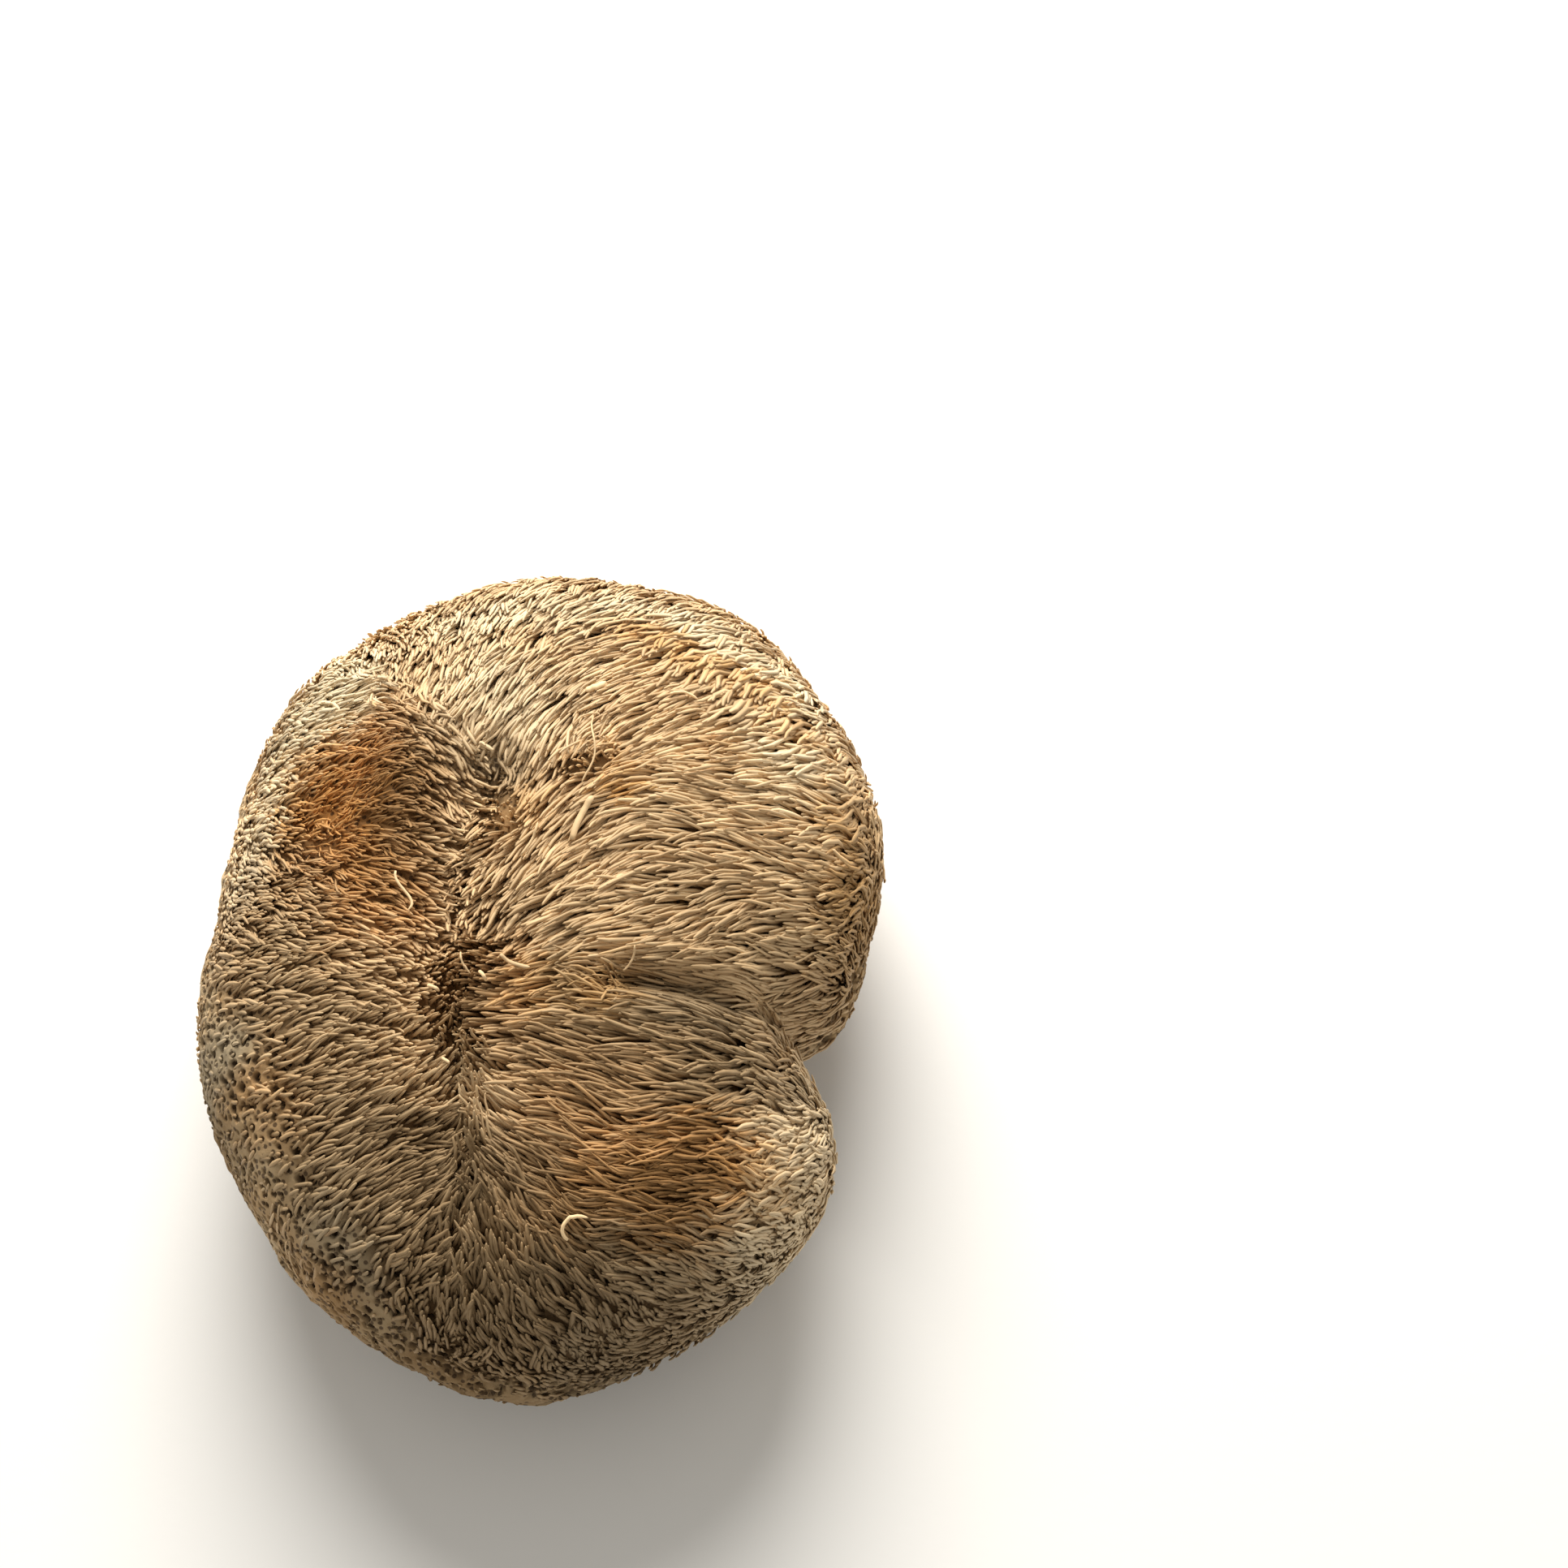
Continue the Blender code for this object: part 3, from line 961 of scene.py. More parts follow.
@dataclass
class Coat:
    """The coat of spines: where they are rooted, and how they rise, lie over and bundle.

    A size named bare holds at the bare margin, and one named hub in the hub. A spread is what
    chance adds. Lengths are in metres, and rise, lie, lean, sway and the headings' spreads in
    degrees. A pair named over holds below and on top of the coat.
    """

    form: BodyForm
    comb: Comb
    margin: Margin
    tracts: TractMap
    pattern: SpinePattern
    candidates: int = 460_000
    scatter: tuple[float, float, float] = (1, 1, 0.8)
    spacing: float = 0.54 * MM
    bare_spacing: float = 1.8 * MM
    lowest: float = 14 * MM
    cover: float = 3.1 * MM
    hub_cover: float = 5.2 * MM
    bare_cover: float = 0.22 * MM
    cover_spread: float = 0.26
    bundle_cover_spread: float = 0.1
    cover_range: tuple[float, float] = (0.35, 1.6)
    sunk: float = 0.9 * MM
    bare_sunk: float = 0.4 * MM
    longest: float = 8.5 * MM
    bare_longest: float = 5.0 * MM
    length_spread: float = 0.1
    rise: float = 46
    bare_rise: float = 20
    hub_rise: float = 76
    rise_fade: float = 1.7
    lie: float = 9.5
    bare_lie: float = 3
    hub_lie: float = 70
    lie_spread: float = 4
    lie_range: tuple[float, float] = (0.5, 86)
    lean: float = 34
    wander: float = 1.3 * MM
    own_wander: float = 0.5
    bundle_spacing: float = 2.0 * MM
    bundle_spread: float = 6
    own_spread: float = 5
    drifts: tuple[tuple[float, float, int], ...] = ((10, 11 * MM, 21), (6, 4.5 * MM, 22))
    over_share: float = 0.4
    over_cover: tuple[float, float] = (0.8, 1.14)
    over_lie: tuple[float, float] = (2, -4)
    over_length: tuple[float, float] = (0.95, 1.2)
    sway: float = 9
    waves: float = 0.8
    own_phase: float = 0.6
    gathering: float = 0.35
    gathering_power: float = 1.6
    girth: float = 0.24 * MM
    girth_spread: float = 0.13
    girth_range: tuple[float, float] = (0.6, 1.5)
    flat_spread: float = 0.7
    bare_flatness: float = 0.5
    tone: float = 0.5
    tone_spread: float = 0.12
    bundle_tone_spread: float = 0.07
    bare_shade: float = 0.2
    stray: float = 1.4 * MM
    steps: int = 14

    def grow(self, rng: np.random.Generator) -> SpineBatch:
        """Grows every spine from its root.

        Args:
            rng: gives each spine its own heading, height and girth.

        Returns:
            The grown spines.
        """
        roots = self.roots(rng)
        bare = self.margin.bareness(roots)
        chance = self.chance(roots, rng)
        sunk = self.sunk + (self.bare_sunk - self.sunk) * bare
        pitch = self.pitches(roots, bare, chance)
        length = self.lengths(roots, bare, sunk, pitch, chance)
        lines, across = self.walk(roots, bare, sunk, pitch, length, chance)
        count = len(roots)
        tone = self.tone + self.tone_spread * rng.normal(size=count)
        tone = tone + self.bundle_tone_spread * chance.shared[2]
        girth = np.clip(1 + self.girth_spread * rng.normal(size=count), *self.girth_range)
        girth *= self.girth * self.tracts.read(roots, "girth")
        flatness = 1 + self.flat_spread * rng.random(count) ** 2 + self.bare_flatness * bare
        flatness = flatness * self.tracts.read(roots, "flatness")
        # how deep the painted shade at each spine's root is
        depth = (1 - (1 - self.bare_shade) * bare) * self.tracts.read(roots, "shade")
        stray = rng.normal(0, self.stray, (count, 3))
        return SpineBatch(lines, across, girth, flatness, tone, depth, stray)

    def roots(self, rng: np.random.Generator) -> Array:
        """Scatters the roots over the upper side and the margin.

        Args:
            rng: places them.

        Returns:
            (n, 3) places on the form.
        """
        directions = unit(rng.normal(size=(self.candidates, 3)) * self.scatter)
        points = self.form.outwards(directions)
        points = points[points[:, 2] > self.lowest]
        bare = self.margin.bareness(points)
        spacing = self.spacing + (self.bare_spacing - self.spacing) * bare**2
        return points[thin_out(points, spacing * self.tracts.read(points, "spacing"), rng)]

    def chance(self, roots: Array, rng: np.random.Generator) -> Chance:
        """Gathers the spines in bundles, and draws what differs from spine to spine.

        Args:
            roots: (n, 3) feet of the spines.
            rng: draws it.

        Returns:
            What was drawn.
        """
        count = len(roots)
        heads = thin_out(roots, np.full(count, self.bundle_spacing), rng)
        bundle, _ = nearest(roots, roots[heads])
        shared = rng.normal(0, 1, (3, len(heads)))[:, bundle]
        own = rng.normal(0, 1, (6, count))
        together = rng.normal(0, 1, (len(heads), 3))[bundle]
        aside = self.wander * (together + self.own_wander * rng.normal(0, 1, (count, 3)))
        over = (rng.random(count) < self.over_share).astype(int)
        return Chance(heads, bundle, shared, own, aside, over)

    def pitches(self, roots: Array, bare: Array, chance: Chance) -> Array:
        """How steeply each spine stands off the flesh, from step to step.

        Args:
            roots: (n, 3) feet of the spines.
            bare: how bare the flesh is there.
            chance: what differs by chance.

        Returns:
            (n, steps) angles in radians.
        """
        stand = self.comb.uprightness(roots)
        rise = self.rise + (self.bare_rise - self.rise) * bare + (self.hub_rise - self.rise) * stand
        lie = self.lie + (self.bare_lie - self.lie) * bare + self.lean * self.comb.leaning(roots)
        lie = lie + (self.hub_lie - lie) * stand
        change = self.tracts.read(roots, "lie") + self.lie_spread * chance.own[4]
        lie += change + np.array(self.over_lie)[chance.over]
        lie = np.clip(lie, *self.lie_range)
        rise = np.maximum(rise, lie)
        shares = (np.arange(self.steps) + 0.5) / self.steps
        return np.radians(lie[:, None] + (rise - lie)[:, None] * (1 - shares) ** self.rise_fade)

    def lengths(
        self, roots: Array, bare: Array, sunk: Array, pitch: Array, chance: Chance
    ) -> Array:
        """How long each spine grows until it is as high as the coat is there.

        Args:
            roots: (n, 3) feet of the spines.
            bare: how bare the flesh is there.
            sunk: how far each foot is sunk in the flesh.
            pitch: (n, steps) how steeply each spine stands.
            chance: what differs by chance.

        Returns:
            The length of each spine.
        """
        stand = self.comb.uprightness(roots)
        cover = self.cover + (self.hub_cover - self.cover) * stand
        cover = cover * self.tracts.read(roots, "cover") * (1 - bare) + self.bare_cover * bare
        spread = 1 + self.cover_spread * chance.own[3]
        spread += self.bundle_cover_spread * chance.shared[2]
        cover *= np.clip(spread, *self.cover_range)
        cover *= np.array(self.over_cover)[chance.over]
        longest = self.longest + (self.bare_longest - self.longest) * bare
        longest = longest * (1 + self.length_spread * chance.own[5])
        longest = longest * np.array(self.over_length)[chance.over]
        length = np.minimum((cover + sunk) / np.sin(pitch).mean(axis=1), longest)
        return length * self.tracts.read(roots, "length")

    def walk(
        self, roots: Array, bare: Array, sunk: Array, pitch: Array, length: Array, chance: Chance
    ) -> tuple[Array, Array]:
        """Leads each spine over the flesh, step by step along the comb.

        Args:
            roots: (n, 3) feet of the spines.
            bare: how bare the flesh is there.
            sunk: how far each foot is sunk in the flesh.
            pitch: (n, steps) how steeply each spine stands.
            length: the length of each spine.
            chance: what differs by chance.

        Returns:
            (n, rings, 3) middles of the rings, and their sideways directions.
        """
        smooth = self.form.without_relief()
        phase = math.pi * chance.shared[0] + self.own_phase * chance.own[0]
        turn = self.bundle_spread * chance.shared[1] + self.own_spread * chance.own[1]
        turn += sum(degrees * soft_noise(roots, size, seed) for degrees, size, seed in self.drifts)
        turn += self.tracts.read(roots, "mess") * chance.own[2]
        wave = self.sway + self.tracts.read(roots, "wave")
        stride = length / self.steps
        foot = roots
        height = self.margin.lift(roots, bare, self.tracts.read(roots, "cover")) - sunk
        normals = smooth.normals(roots)
        line = [roots + normals * height[:, None]]
        sides = []
        for step in range(self.steps):
            share = (step + 0.5) / self.steps
            along = self.comb.tangents(foot, chance.aside, normals)
            side = np.cross(normals, along)
            bend = np.radians(turn + wave * np.sin(math.tau * self.waves * share + phase))
            way = along * np.cos(bend)[:, None] + side * np.sin(bend)[:, None]
            foot = self.form.settle(foot + way * (stride * np.cos(pitch[:, step]))[:, None])
            height = height + stride * np.sin(pitch[:, step])
            normals = smooth.normals(foot)
            line.append(foot + normals * height[:, None])
            sides.append(np.cross(normals, way))
        sides.append(sides[-1])
        return self.gathered(np.stack(line, axis=1), np.stack(sides, axis=1), chance)

    def gathered(self, lines: Array, across: Array, chance: Chance) -> tuple[Array, Array]:
        """Reads the rings off the steps, and draws each bundle together towards its tips.

        Args:
            lines: (n, steps + 1, 3) places along each spine.
            across: the sideways direction at each of them.
            chance: tells each spine's bundle.

        Returns:
            (n, rings, 3) middles of the rings, and their sideways directions.
        """
        at = self.pattern.places * self.steps
        low = np.minimum(at.astype(int), self.steps - 1)
        part = (at - low)[None, :, None]
        lines = lines[:, low] * (1 - part) + lines[:, low + 1] * part
        across = across[:, low]
        middle, sideways = lines[chance.heads][chance.bundle], across[chance.heads][chance.bundle]
        off = dot(lines - middle, sideways)
        pull = self.gathering * self.pattern.places[None, :, None] ** self.gathering_power
        return lines - pull * off * sideways, across


@dataclass(frozen=True)
class Bit:
    """One broken or stray spine that lies on the coat.

    Attributes:
        path: two to five places in mm, seen from above, from its foot to its tip.
        width: its width in mm.
        flatness: how much wider than thick it is.
        tone: its lightness.
        arch: how far its middle stands off the coat, in mm.
    """

    path: tuple[tuple[float, float], ...]
    width: float = 0.5
    flatness: float = 1.3
    tone: float = 0.95
    arch: float = 0.2


@dataclass(frozen=True)
class LooseBits:
    """The bits that show on top of the coat.

    Attributes:
        bits: the bits.
        reach: how far around a place the coat holds a bit up.
        bend: the degree of the curve that a bit follows over the coat's tops.
        sides: how many flat sides a bit has.
        girth: its radius at each ring, as a share of the most.
        last_ring: where its last ring is along it.
    """

    bits: tuple[Bit, ...] = (
        Bit(((7.9, -53.9), (7.2, -52.6), (8.4, -51.2), (10.9, -51.2)), 0.6, 1.5, 1.0, 0.5),
        Bit(((-20.4, 1.0), (-19.6, -1.2), (-17.9, -3.2), (-18.3, -5.2)), 0.45, 1.2, 0.9, 0.5),
        Bit(((6.3, 6.2), (7.1, 9.6), (8.3, 12.2), (9.2, 13.6)), 1.15, 4.0, 0.6, 0.3),
        Bit(((6.9, 34.3), (8.4, 34.6), (10.1, 35.7)), 1.1, 3.0, 1.0, 0.2),
        Bit(
            ((9.2, 30.3), (8.5, 25.5), (9.2, 21.5), (8.3, 18.2), (7.4, 16.2)),
            0.34, 1.1, 0.6, 0.9,
        ),
        Bit(((5.2, 27.3), (7.4, 29.1), (9.7, 28.5)), 0.3, 1.1, 0.6, 0.6),
        Bit(((-3.5, -13.0), (-1.2, -14.4), (1.1, -15.0)), 0.62, 1.4, 0.45, 0.0),
        Bit(((-14.2, -17.3), (-12.4, -18.1)), 0.55, 1.3, 0.85, 0.0),
        Bit(((-6.6, -15.2), (-5.4, -16.9)), 0.6, 1.3, 0.95, 0.0),
        Bit(((-9.3, -12.9), (-8.9, -14.6), (-7.7, -16.0)), 0.34, 1.2, 0.6, 0.3),
        Bit(((-11.5, -28.0), (-10.2, -29.0)), 0.5, 1.3, 0.85, 0.0),
        Bit(((14.6, -14.0), (16.0, -12.6), (16.4, -10.9)), 0.36, 1.2, 0.55, 0.7),
        Bit(((-1.5, 4.0), (0.2, 6.8), (0.8, 9.4)), 0.45, 1.2, 0.6, 0.3),
        Bit(((20.5, 33.0), (22.8, 33.4), (25.0, 32.6)), 0.45, 1.2, 1.05, 0.3),
    )
    reach: float = 0.7 * MM
    bend: int = 2
    sides: int = 6
    girth: tuple[float, ...] = (0.75, *[1.0] * 10, 0.9, 0.55)
    last_ring: float = 0.96

    def pattern(self) -> SpinePattern:
        """What the bits are drawn from: it bends at more rings than a rooted spine does."""
        stations = np.linspace(0, self.last_ring, len(self.girth))
        return SpinePattern(self.sides, tuple(stations), self.girth)

    def batch(self, coat: Array, pattern: SpinePattern) -> SpineBatch:
        """Lays the bits on the coat.

        Args:
            coat: (n, 3) vertices of the spines.
            pattern: what the bits are drawn from.

        Returns:
            The bits, in the coat's own frame.
        """
        rings = pattern.ring_count
        lines = np.zeros((len(self.bits), rings, 3))
        share = pattern.places
        for line, bit in zip(lines, self.bits):
            knots = np.linspace(0, 1, len(bit.path))
            for axis in range(2):
                curve = np.polyfit(knots, np.array(bit.path)[:, axis], len(knots) - 1)
                line[:, axis] = np.polyval(curve, share) * MM
            tops = [self.top(coat, place) for place in line[:, :2]]
            rest = np.polyval(np.polyfit(share, tops, self.bend), share)
            line[:, 2] = np.maximum(rest, tops) + bit.arch * MM * 4 * share * (1 - share)
        across = np.cross(np.gradient(lines, axis=1), (0.0, 0.0, 1.0))
        count = len(self.bits)
        flatness = np.array([bit.flatness for bit in self.bits])
        girth = np.array([bit.width for bit in self.bits]) * MM / 2 / np.sqrt(flatness)
        tone = np.array([bit.tone for bit in self.bits])
        clear = np.tile((1.0, 0.0, 0.0), (count, 1))
        return SpineBatch(lines, across, girth, flatness, tone, np.zeros(count), clear)

    def top(self, coat: Array, place: Array) -> float:
        """Height of the coat around a place."""
        near = np.abs(coat[:, :2] - place).max(axis=1) < self.reach
        return float(coat[near, 2].max())


@dataclass
class Fit:
    """Scales what is drawn to the solid's box, as the solid was scaled to its size."""

    low: Array
    high: Array

    def apply(self, points: Array) -> Array:
        """Brings points into the part's frame.

        Args:
            points: places as drawn, along the last axis.

        Returns:
            The places in the part's frame.
        """
        box_low, box_high = (np.array(corner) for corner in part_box(NODE))
        factor = (box_high - box_low) / (self.high - self.low)
        return (points - self.low) * factor + box_low


# the colour sockets of a Mix node, whose other kinds of sockets have the same names
MIX_FACTOR, MIX_FIRST, MIX_SECOND, MIX_RESULT = 0, 6, 7, 2


class Wire:
    """One output of a node, which takes part in Python arithmetic."""

    def __init__(self, bench: "Bench", socket: bpy.types.NodeSocket) -> None:
        """Keeps the socket and the bench that makes its nodes."""
        self.bench = bench
        self.socket = socket

    def __add__(self, other: "Wire | float") -> "Wire":
        """self + other."""
        return self.bench.maths("ADD", self, other)

    def __sub__(self, other: "Wire | float") -> "Wire":
        """self - other."""
        return self.bench.maths("SUBTRACT", self, other)

    def __rsub__(self, other: float) -> "Wire":
        """other - self."""
        return self.bench.maths("SUBTRACT", other, self)

    def __mul__(self, other: "Wire | float") -> "Wire":
        """self * other."""
        return self.bench.maths("MULTIPLY", self, other)

    __radd__ = __add__
    __rmul__ = __mul__

    def held(self) -> "Wire":
        """The value held between 0 and 1."""
        return self.bench.maths("MINIMUM", self.bench.maths("MAXIMUM", self, 0.0), 1.0)

    def step(self, low: float, high: float) -> "Wire":
        """Rises smoothly from 0 to 1.

        Args:
            low: the value that gives 0.
            high: the value that gives 1.

        Returns:
            The risen value.
        """
        settings = {"interpolation_type": "SMOOTHSTEP"}
        inputs = {"Value": self, "From Min": low, "From Max": high}
        return self.bench.add("ShaderNodeMapRange", settings, inputs)


class Bench:
    """Makes the nodes of one material."""

    def __init__(self, name: str, **constants: float | tuple[float, ...]) -> None:
        """Starts a material.

        Args:
            name: the material's name.
            **constants: values of the shader's sockets, named with underscores for spaces.
        """
        self.material = bpy.data.materials.new(name)
        self.material.use_nodes = True
        self.tree = self.material.node_tree
        self.shader = self.tree.nodes["Principled BSDF"]
        for key, value in constants.items():
            self.shader.inputs[key.replace("_", " ")].default_value = value

    def add(
        self,
        kind: str,
        settings: dict[str, object] | None = None,
        inputs: dict[str | int, object] | None = None,
        output: str | int = 0,
    ) -> Wire:
        """Adds one node.

        Args:
            kind: the node's type.
            settings: its own settings, set first.
            inputs: values or wires for its sockets.
            output: which of its outputs is wanted.

        Returns:
            That output.
        """
        node = self.tree.nodes.new(kind)
        for key, value in (settings or {}).items():
            setattr(node, key, value)
        for key, value in (inputs or {}).items():
            self.plug(node.inputs[key], value)
        return Wire(self, node.outputs[output])

    def plug(self, socket: bpy.types.NodeSocket, value: object) -> None:
        """Links a wire to a socket, or sets the socket's value.

        Args:
            socket: the socket.
            value: a wire, number, vector or colour.
        """
        if isinstance(value, Wire):
            self.tree.links.new(value.socket, socket)
        elif isinstance(value, tuple) and len(value) == 3 and socket.type == "RGBA":
            socket.default_value = (*value, 1.0)
        else:
            socket.default_value = value

    def maths(self, operation: str, *values: Wire | float) -> Wire:
        """A Math node on these values."""
        return self.add("ShaderNodeMath", {"operation": operation}, dict(enumerate(values)))

    def mixed(
        self, factor: Wire | float, first: object, second: object, blend: str = "MIX"
    ) -> Wire:
        """Lays one colour over another.

        Args:
            factor: how much of the second shows.
            first: the colour below.
            second: the colour laid over it.
            blend: how the two are blended.

        Returns:
            The colour.
        """
        settings = {"data_type": "RGBA", "blend_type": blend, "clamp_factor": True}
        inputs = {MIX_FACTOR: factor, MIX_FIRST: first, MIX_SECOND: second}
        return self.add("ShaderNodeMix", settings, inputs, MIX_RESULT)

    def scaled(self, colour: Wire, factor: Wire | float) -> Wire:
        """A colour made lighter or darker by a factor."""
        inputs = {0: colour, "Scale": factor}
        return self.add("ShaderNodeVectorMath", {"operation": "SCALE"}, inputs)

    def place(self) -> Wire:
        """Object coordinates."""
        return self.add("ShaderNodeTexCoord", output="Object")

    def noise(self, size: float, detail: float = 2.0, rough: float = 0.5) -> Wire:
        """Noise from 0 to 1.

        Args:
            size: how wide its lumps are, in metres.
            detail: how many finer layers it has.
            rough: how strong they are.

        Returns:
            The noise.
        """
        inputs = {
            "Vector": self.place(),
            "Scale": 1 / size,
            "Detail": detail,
            "Roughness": rough,
        }
        return self.add("ShaderNodeTexNoise", {"noise_dimensions": "3D"}, inputs)

    def cells(self, size: float) -> Wire:
        """Distance from the middles of cells this wide, in metres."""
        inputs = {"Vector": self.place(), "Scale": 1 / size}
        return self.add("ShaderNodeTexVoronoi", {"feature": "F1"}, inputs)

    def attribute(self, name: str) -> Wire:
        """A number that the mesh carries."""
        return self.add("ShaderNodeAttribute", {"attribute_name": name}, output="Fac")

    def finish(
        self, colour: Wire, roughness: Wire, height: Wire, depth: float
    ) -> bpy.types.Material:
        """Connects the colour, the roughness and the relief, and returns the material.

        Args:
            colour: the base colour.
            roughness: the roughness.
            height: relief from 0 to 1.
            depth: how deep the relief is, in metres.

        Returns:
            The material.
        """
        self.plug(self.shader.inputs["Base Color"], colour)
        self.plug(self.shader.inputs["Roughness"], roughness)
        inputs = {"Height": height, "Distance": depth, "Strength": 1.0}
        self.plug(self.shader.inputs["Normal"], self.add("ShaderNodeBump", {}, inputs))
        return self.material


@dataclass(frozen=True)
class Palette:
    """The colours of dried flesh, linear, with painted shade for the roots, pores and pits, and
    umber partly painted shade.

    Attributes:
        strengths: how strongly each stain colours, the lowest layer first.
        share: how much of a stain shows where nothing frays it.
        fraying: how much more of it shows where it is frayed most.
    """

    tip: tuple[float, float, float] = (0.83, 0.625, 0.37)
    mid: tuple[float, float, float] = (0.58, 0.385, 0.195)
    # painted shade: the spines' roots and the flesh under them are multiplied by it
    shade: tuple[float, float, float] = (0.42, 0.315, 0.20)
    # painted shade in the pores and pits
    hollow: tuple[float, float, float] = (0.045, 0.024, 0.011)
    rust: tuple[float, float, float] = (0.58, 0.26, 0.055)
    ochre: tuple[float, float, float] = (0.62, 0.33, 0.09)
    cream: tuple[float, float, float] = (0.84, 0.72, 0.50)
    grey: tuple[float, float, float] = (0.40, 0.335, 0.225)
    # brown stain, and painted shade where it darkens the front, the crevice and the crease
    umber: tuple[float, float, float] = (0.15, 0.09, 0.036)
    strengths: tuple[tuple[Stain, float], ...] = (
        (Stain.CREAM, 0.85),
        (Stain.GREY, 0.8),
        (Stain.OCHRE, 0.85),
        (Stain.RUST, 0.92),
        (Stain.UMBER, 0.85),
    )
    share: float = 0.55
    fraying: float = 0.9

    def stained(self, bench: Bench, colour: Wire, frayed: Wire) -> Wire:
        """Lays the stains over a colour, umber among them, which is partly painted shade.

        Args:
            bench: makes the nodes.
            colour: the colour below.
            frayed: noise that breaks up the stains' edges.

        Returns:
            The stained colour.
        """
        for stain, strength in self.strengths:
            weight = bench.attribute(stain.value)
            share = (weight * (self.share + frayed * self.fraying)).held() * strength
            colour = bench.mixed(share, colour, getattr(self, stain.value))
        return colour


@dataclass(frozen=True)
class SpineFinish:
    """Dry, faintly waxy spines: painted shade at the root, pale at the tip, stained in patches.

    Attributes:
        clouds: how wide the clouds of colour are; grain, the finer ones; fibre, the relief.
        warmth: what the clouds and a spine's tone add to its paleness, from a low start.
        light: a spine's lightness at no tone, and what its tone and the grain add.
        root: where along a spine the painted shade at its root ends.
    """

    name: str = "spine_fibre"
    palette: Palette = Palette()
    gloss: float = 0.35
    roughness: float = 0.58
    grain_roughness: float = 0.16
    clouds: float = 9 * MM
    cloud_detail: float = 3.0
    grain: float = 1.6 * MM
    fibre: float = 0.35 * MM
    relief: float = 0.02 * MM
    warmth: tuple[float, float, float] = (1.2, 0.6, 0.5)
    light: tuple[float, float, float] = (0.66, 0.5, 0.14)
    root: tuple[float, float] = (0.06, 0.64)
    root_shade: float = 0.95

    def material(self) -> bpy.types.Material:
        """Builds the material.

        Returns:
            The material.
        """
        bench = Bench(self.name, Specular_IOR_Level=self.gloss)
        along, tone = bench.attribute("along"), bench.attribute("tone")
        depth = bench.attribute("depth")
        clouds, grain = bench.noise(self.clouds, self.cloud_detail), bench.noise(self.grain)
        by_cloud, by_tone, start = self.warmth
        warm = (clouds * by_cloud + tone * by_tone - start).held()
        colour = bench.mixed(warm, self.palette.mid, self.palette.tip)
        colour = self.palette.stained(bench, colour, grain)
        plain, by_tone, by_grain = self.light
        colour = bench.scaled(colour, plain + tone * by_tone + grain * by_grain)
        # painted shade between the spines: each root darkened towards the shade colour
        shadow = (1 - along.step(*self.root)) * depth * self.root_shade
        colour = bench.mixed(shadow, colour, self.palette.shade, "MULTIPLY")
        roughness = self.roughness + grain * self.grain_roughness
        return bench.finish(colour, roughness, bench.noise(self.fibre), self.relief)


@dataclass(frozen=True)
class FleshFinish:
    """Corky flesh: pale and porous at the margin, with painted shade in its pores and pits and
    under the spines.

    Attributes:
        clouds: how wide the clouds of colour are; grain, the finer ones.
        pores: how far apart the fine pores are, and pore_edge the share of that where they end.
        bumps: size, detail, roughness and height of each layer of the relief.
    """

    name: str = "porous_flesh"
    palette: Palette = Palette()
    gloss: float = 0.25
    roughness: float = 0.82
    grain_roughness: float = 0.1
    clouds: float = 12 * MM
    cloud_detail: float = 4.0
    cloud_edge: tuple[float, float] = (0.35, 0.65)
    grain: float = 1.1 * MM
    grain_detail: float = 3.0
    grain_rough: float = 0.6
    light: tuple[float, float] = (0.55, 0.6)
    pores: float = 1.15 * MM
    pore_edge: tuple[float, float] = (0.24, 0.4)
    pore_shade: float = 0.8
    pore_depth: float = 0.5
    pit_reach: float = 1.2
    pit_shade: float = 0.95
    bumps: tuple[tuple[float, float, float, float], ...] = (
        (0.55 * MM, 3.0, 0.6, 0.6),
        (2.5 * MM, 2.0, 0.5, 0.6),
    )
    relief: float = 0.22 * MM

    def material(self) -> bpy.types.Material:
        """Builds the material.

        Returns:
            The material.
        """
        bench = Bench(self.name, Specular_IOR_Level=self.gloss)
        pit, painted_cover_shade = bench.attribute("pit"), bench.attribute("painted_cover_shade")
        clouds = bench.noise(self.clouds, self.cloud_detail)
        grain = bench.noise(self.grain, self.grain_detail, self.grain_rough)
        colour = bench.mixed(clouds.step(*self.cloud_edge), self.palette.mid, self.palette.tip)
        colour = self.palette.stained(bench, colour, grain)
        plain, by_grain = self.light
        colour = bench.scaled(colour, plain + grain * by_grain)
        pores = 1 - bench.cells(self.pores).step(*self.pore_edge)
        # painted shade in the fine pores
        colour = bench.mixed(pores * self.pore_shade, colour, self.palette.hollow)
        # painted shade in the pits
        pit = (pit * self.pit_reach).held() * self.pit_shade
        colour = bench.mixed(pit, colour, self.palette.hollow)
        # painted shade under the coat of spines
        colour = bench.mixed(painted_cover_shade, colour, self.palette.shade, "MULTIPLY")
        fine, coarse = (
            bench.noise(size, detail, rough) * height for size, detail, rough, height in self.bumps
        )
        height = fine + coarse - pores * self.pore_depth
        roughness = self.roughness + grain * self.grain_roughness
        return bench.finish(colour, roughness, height, self.relief)


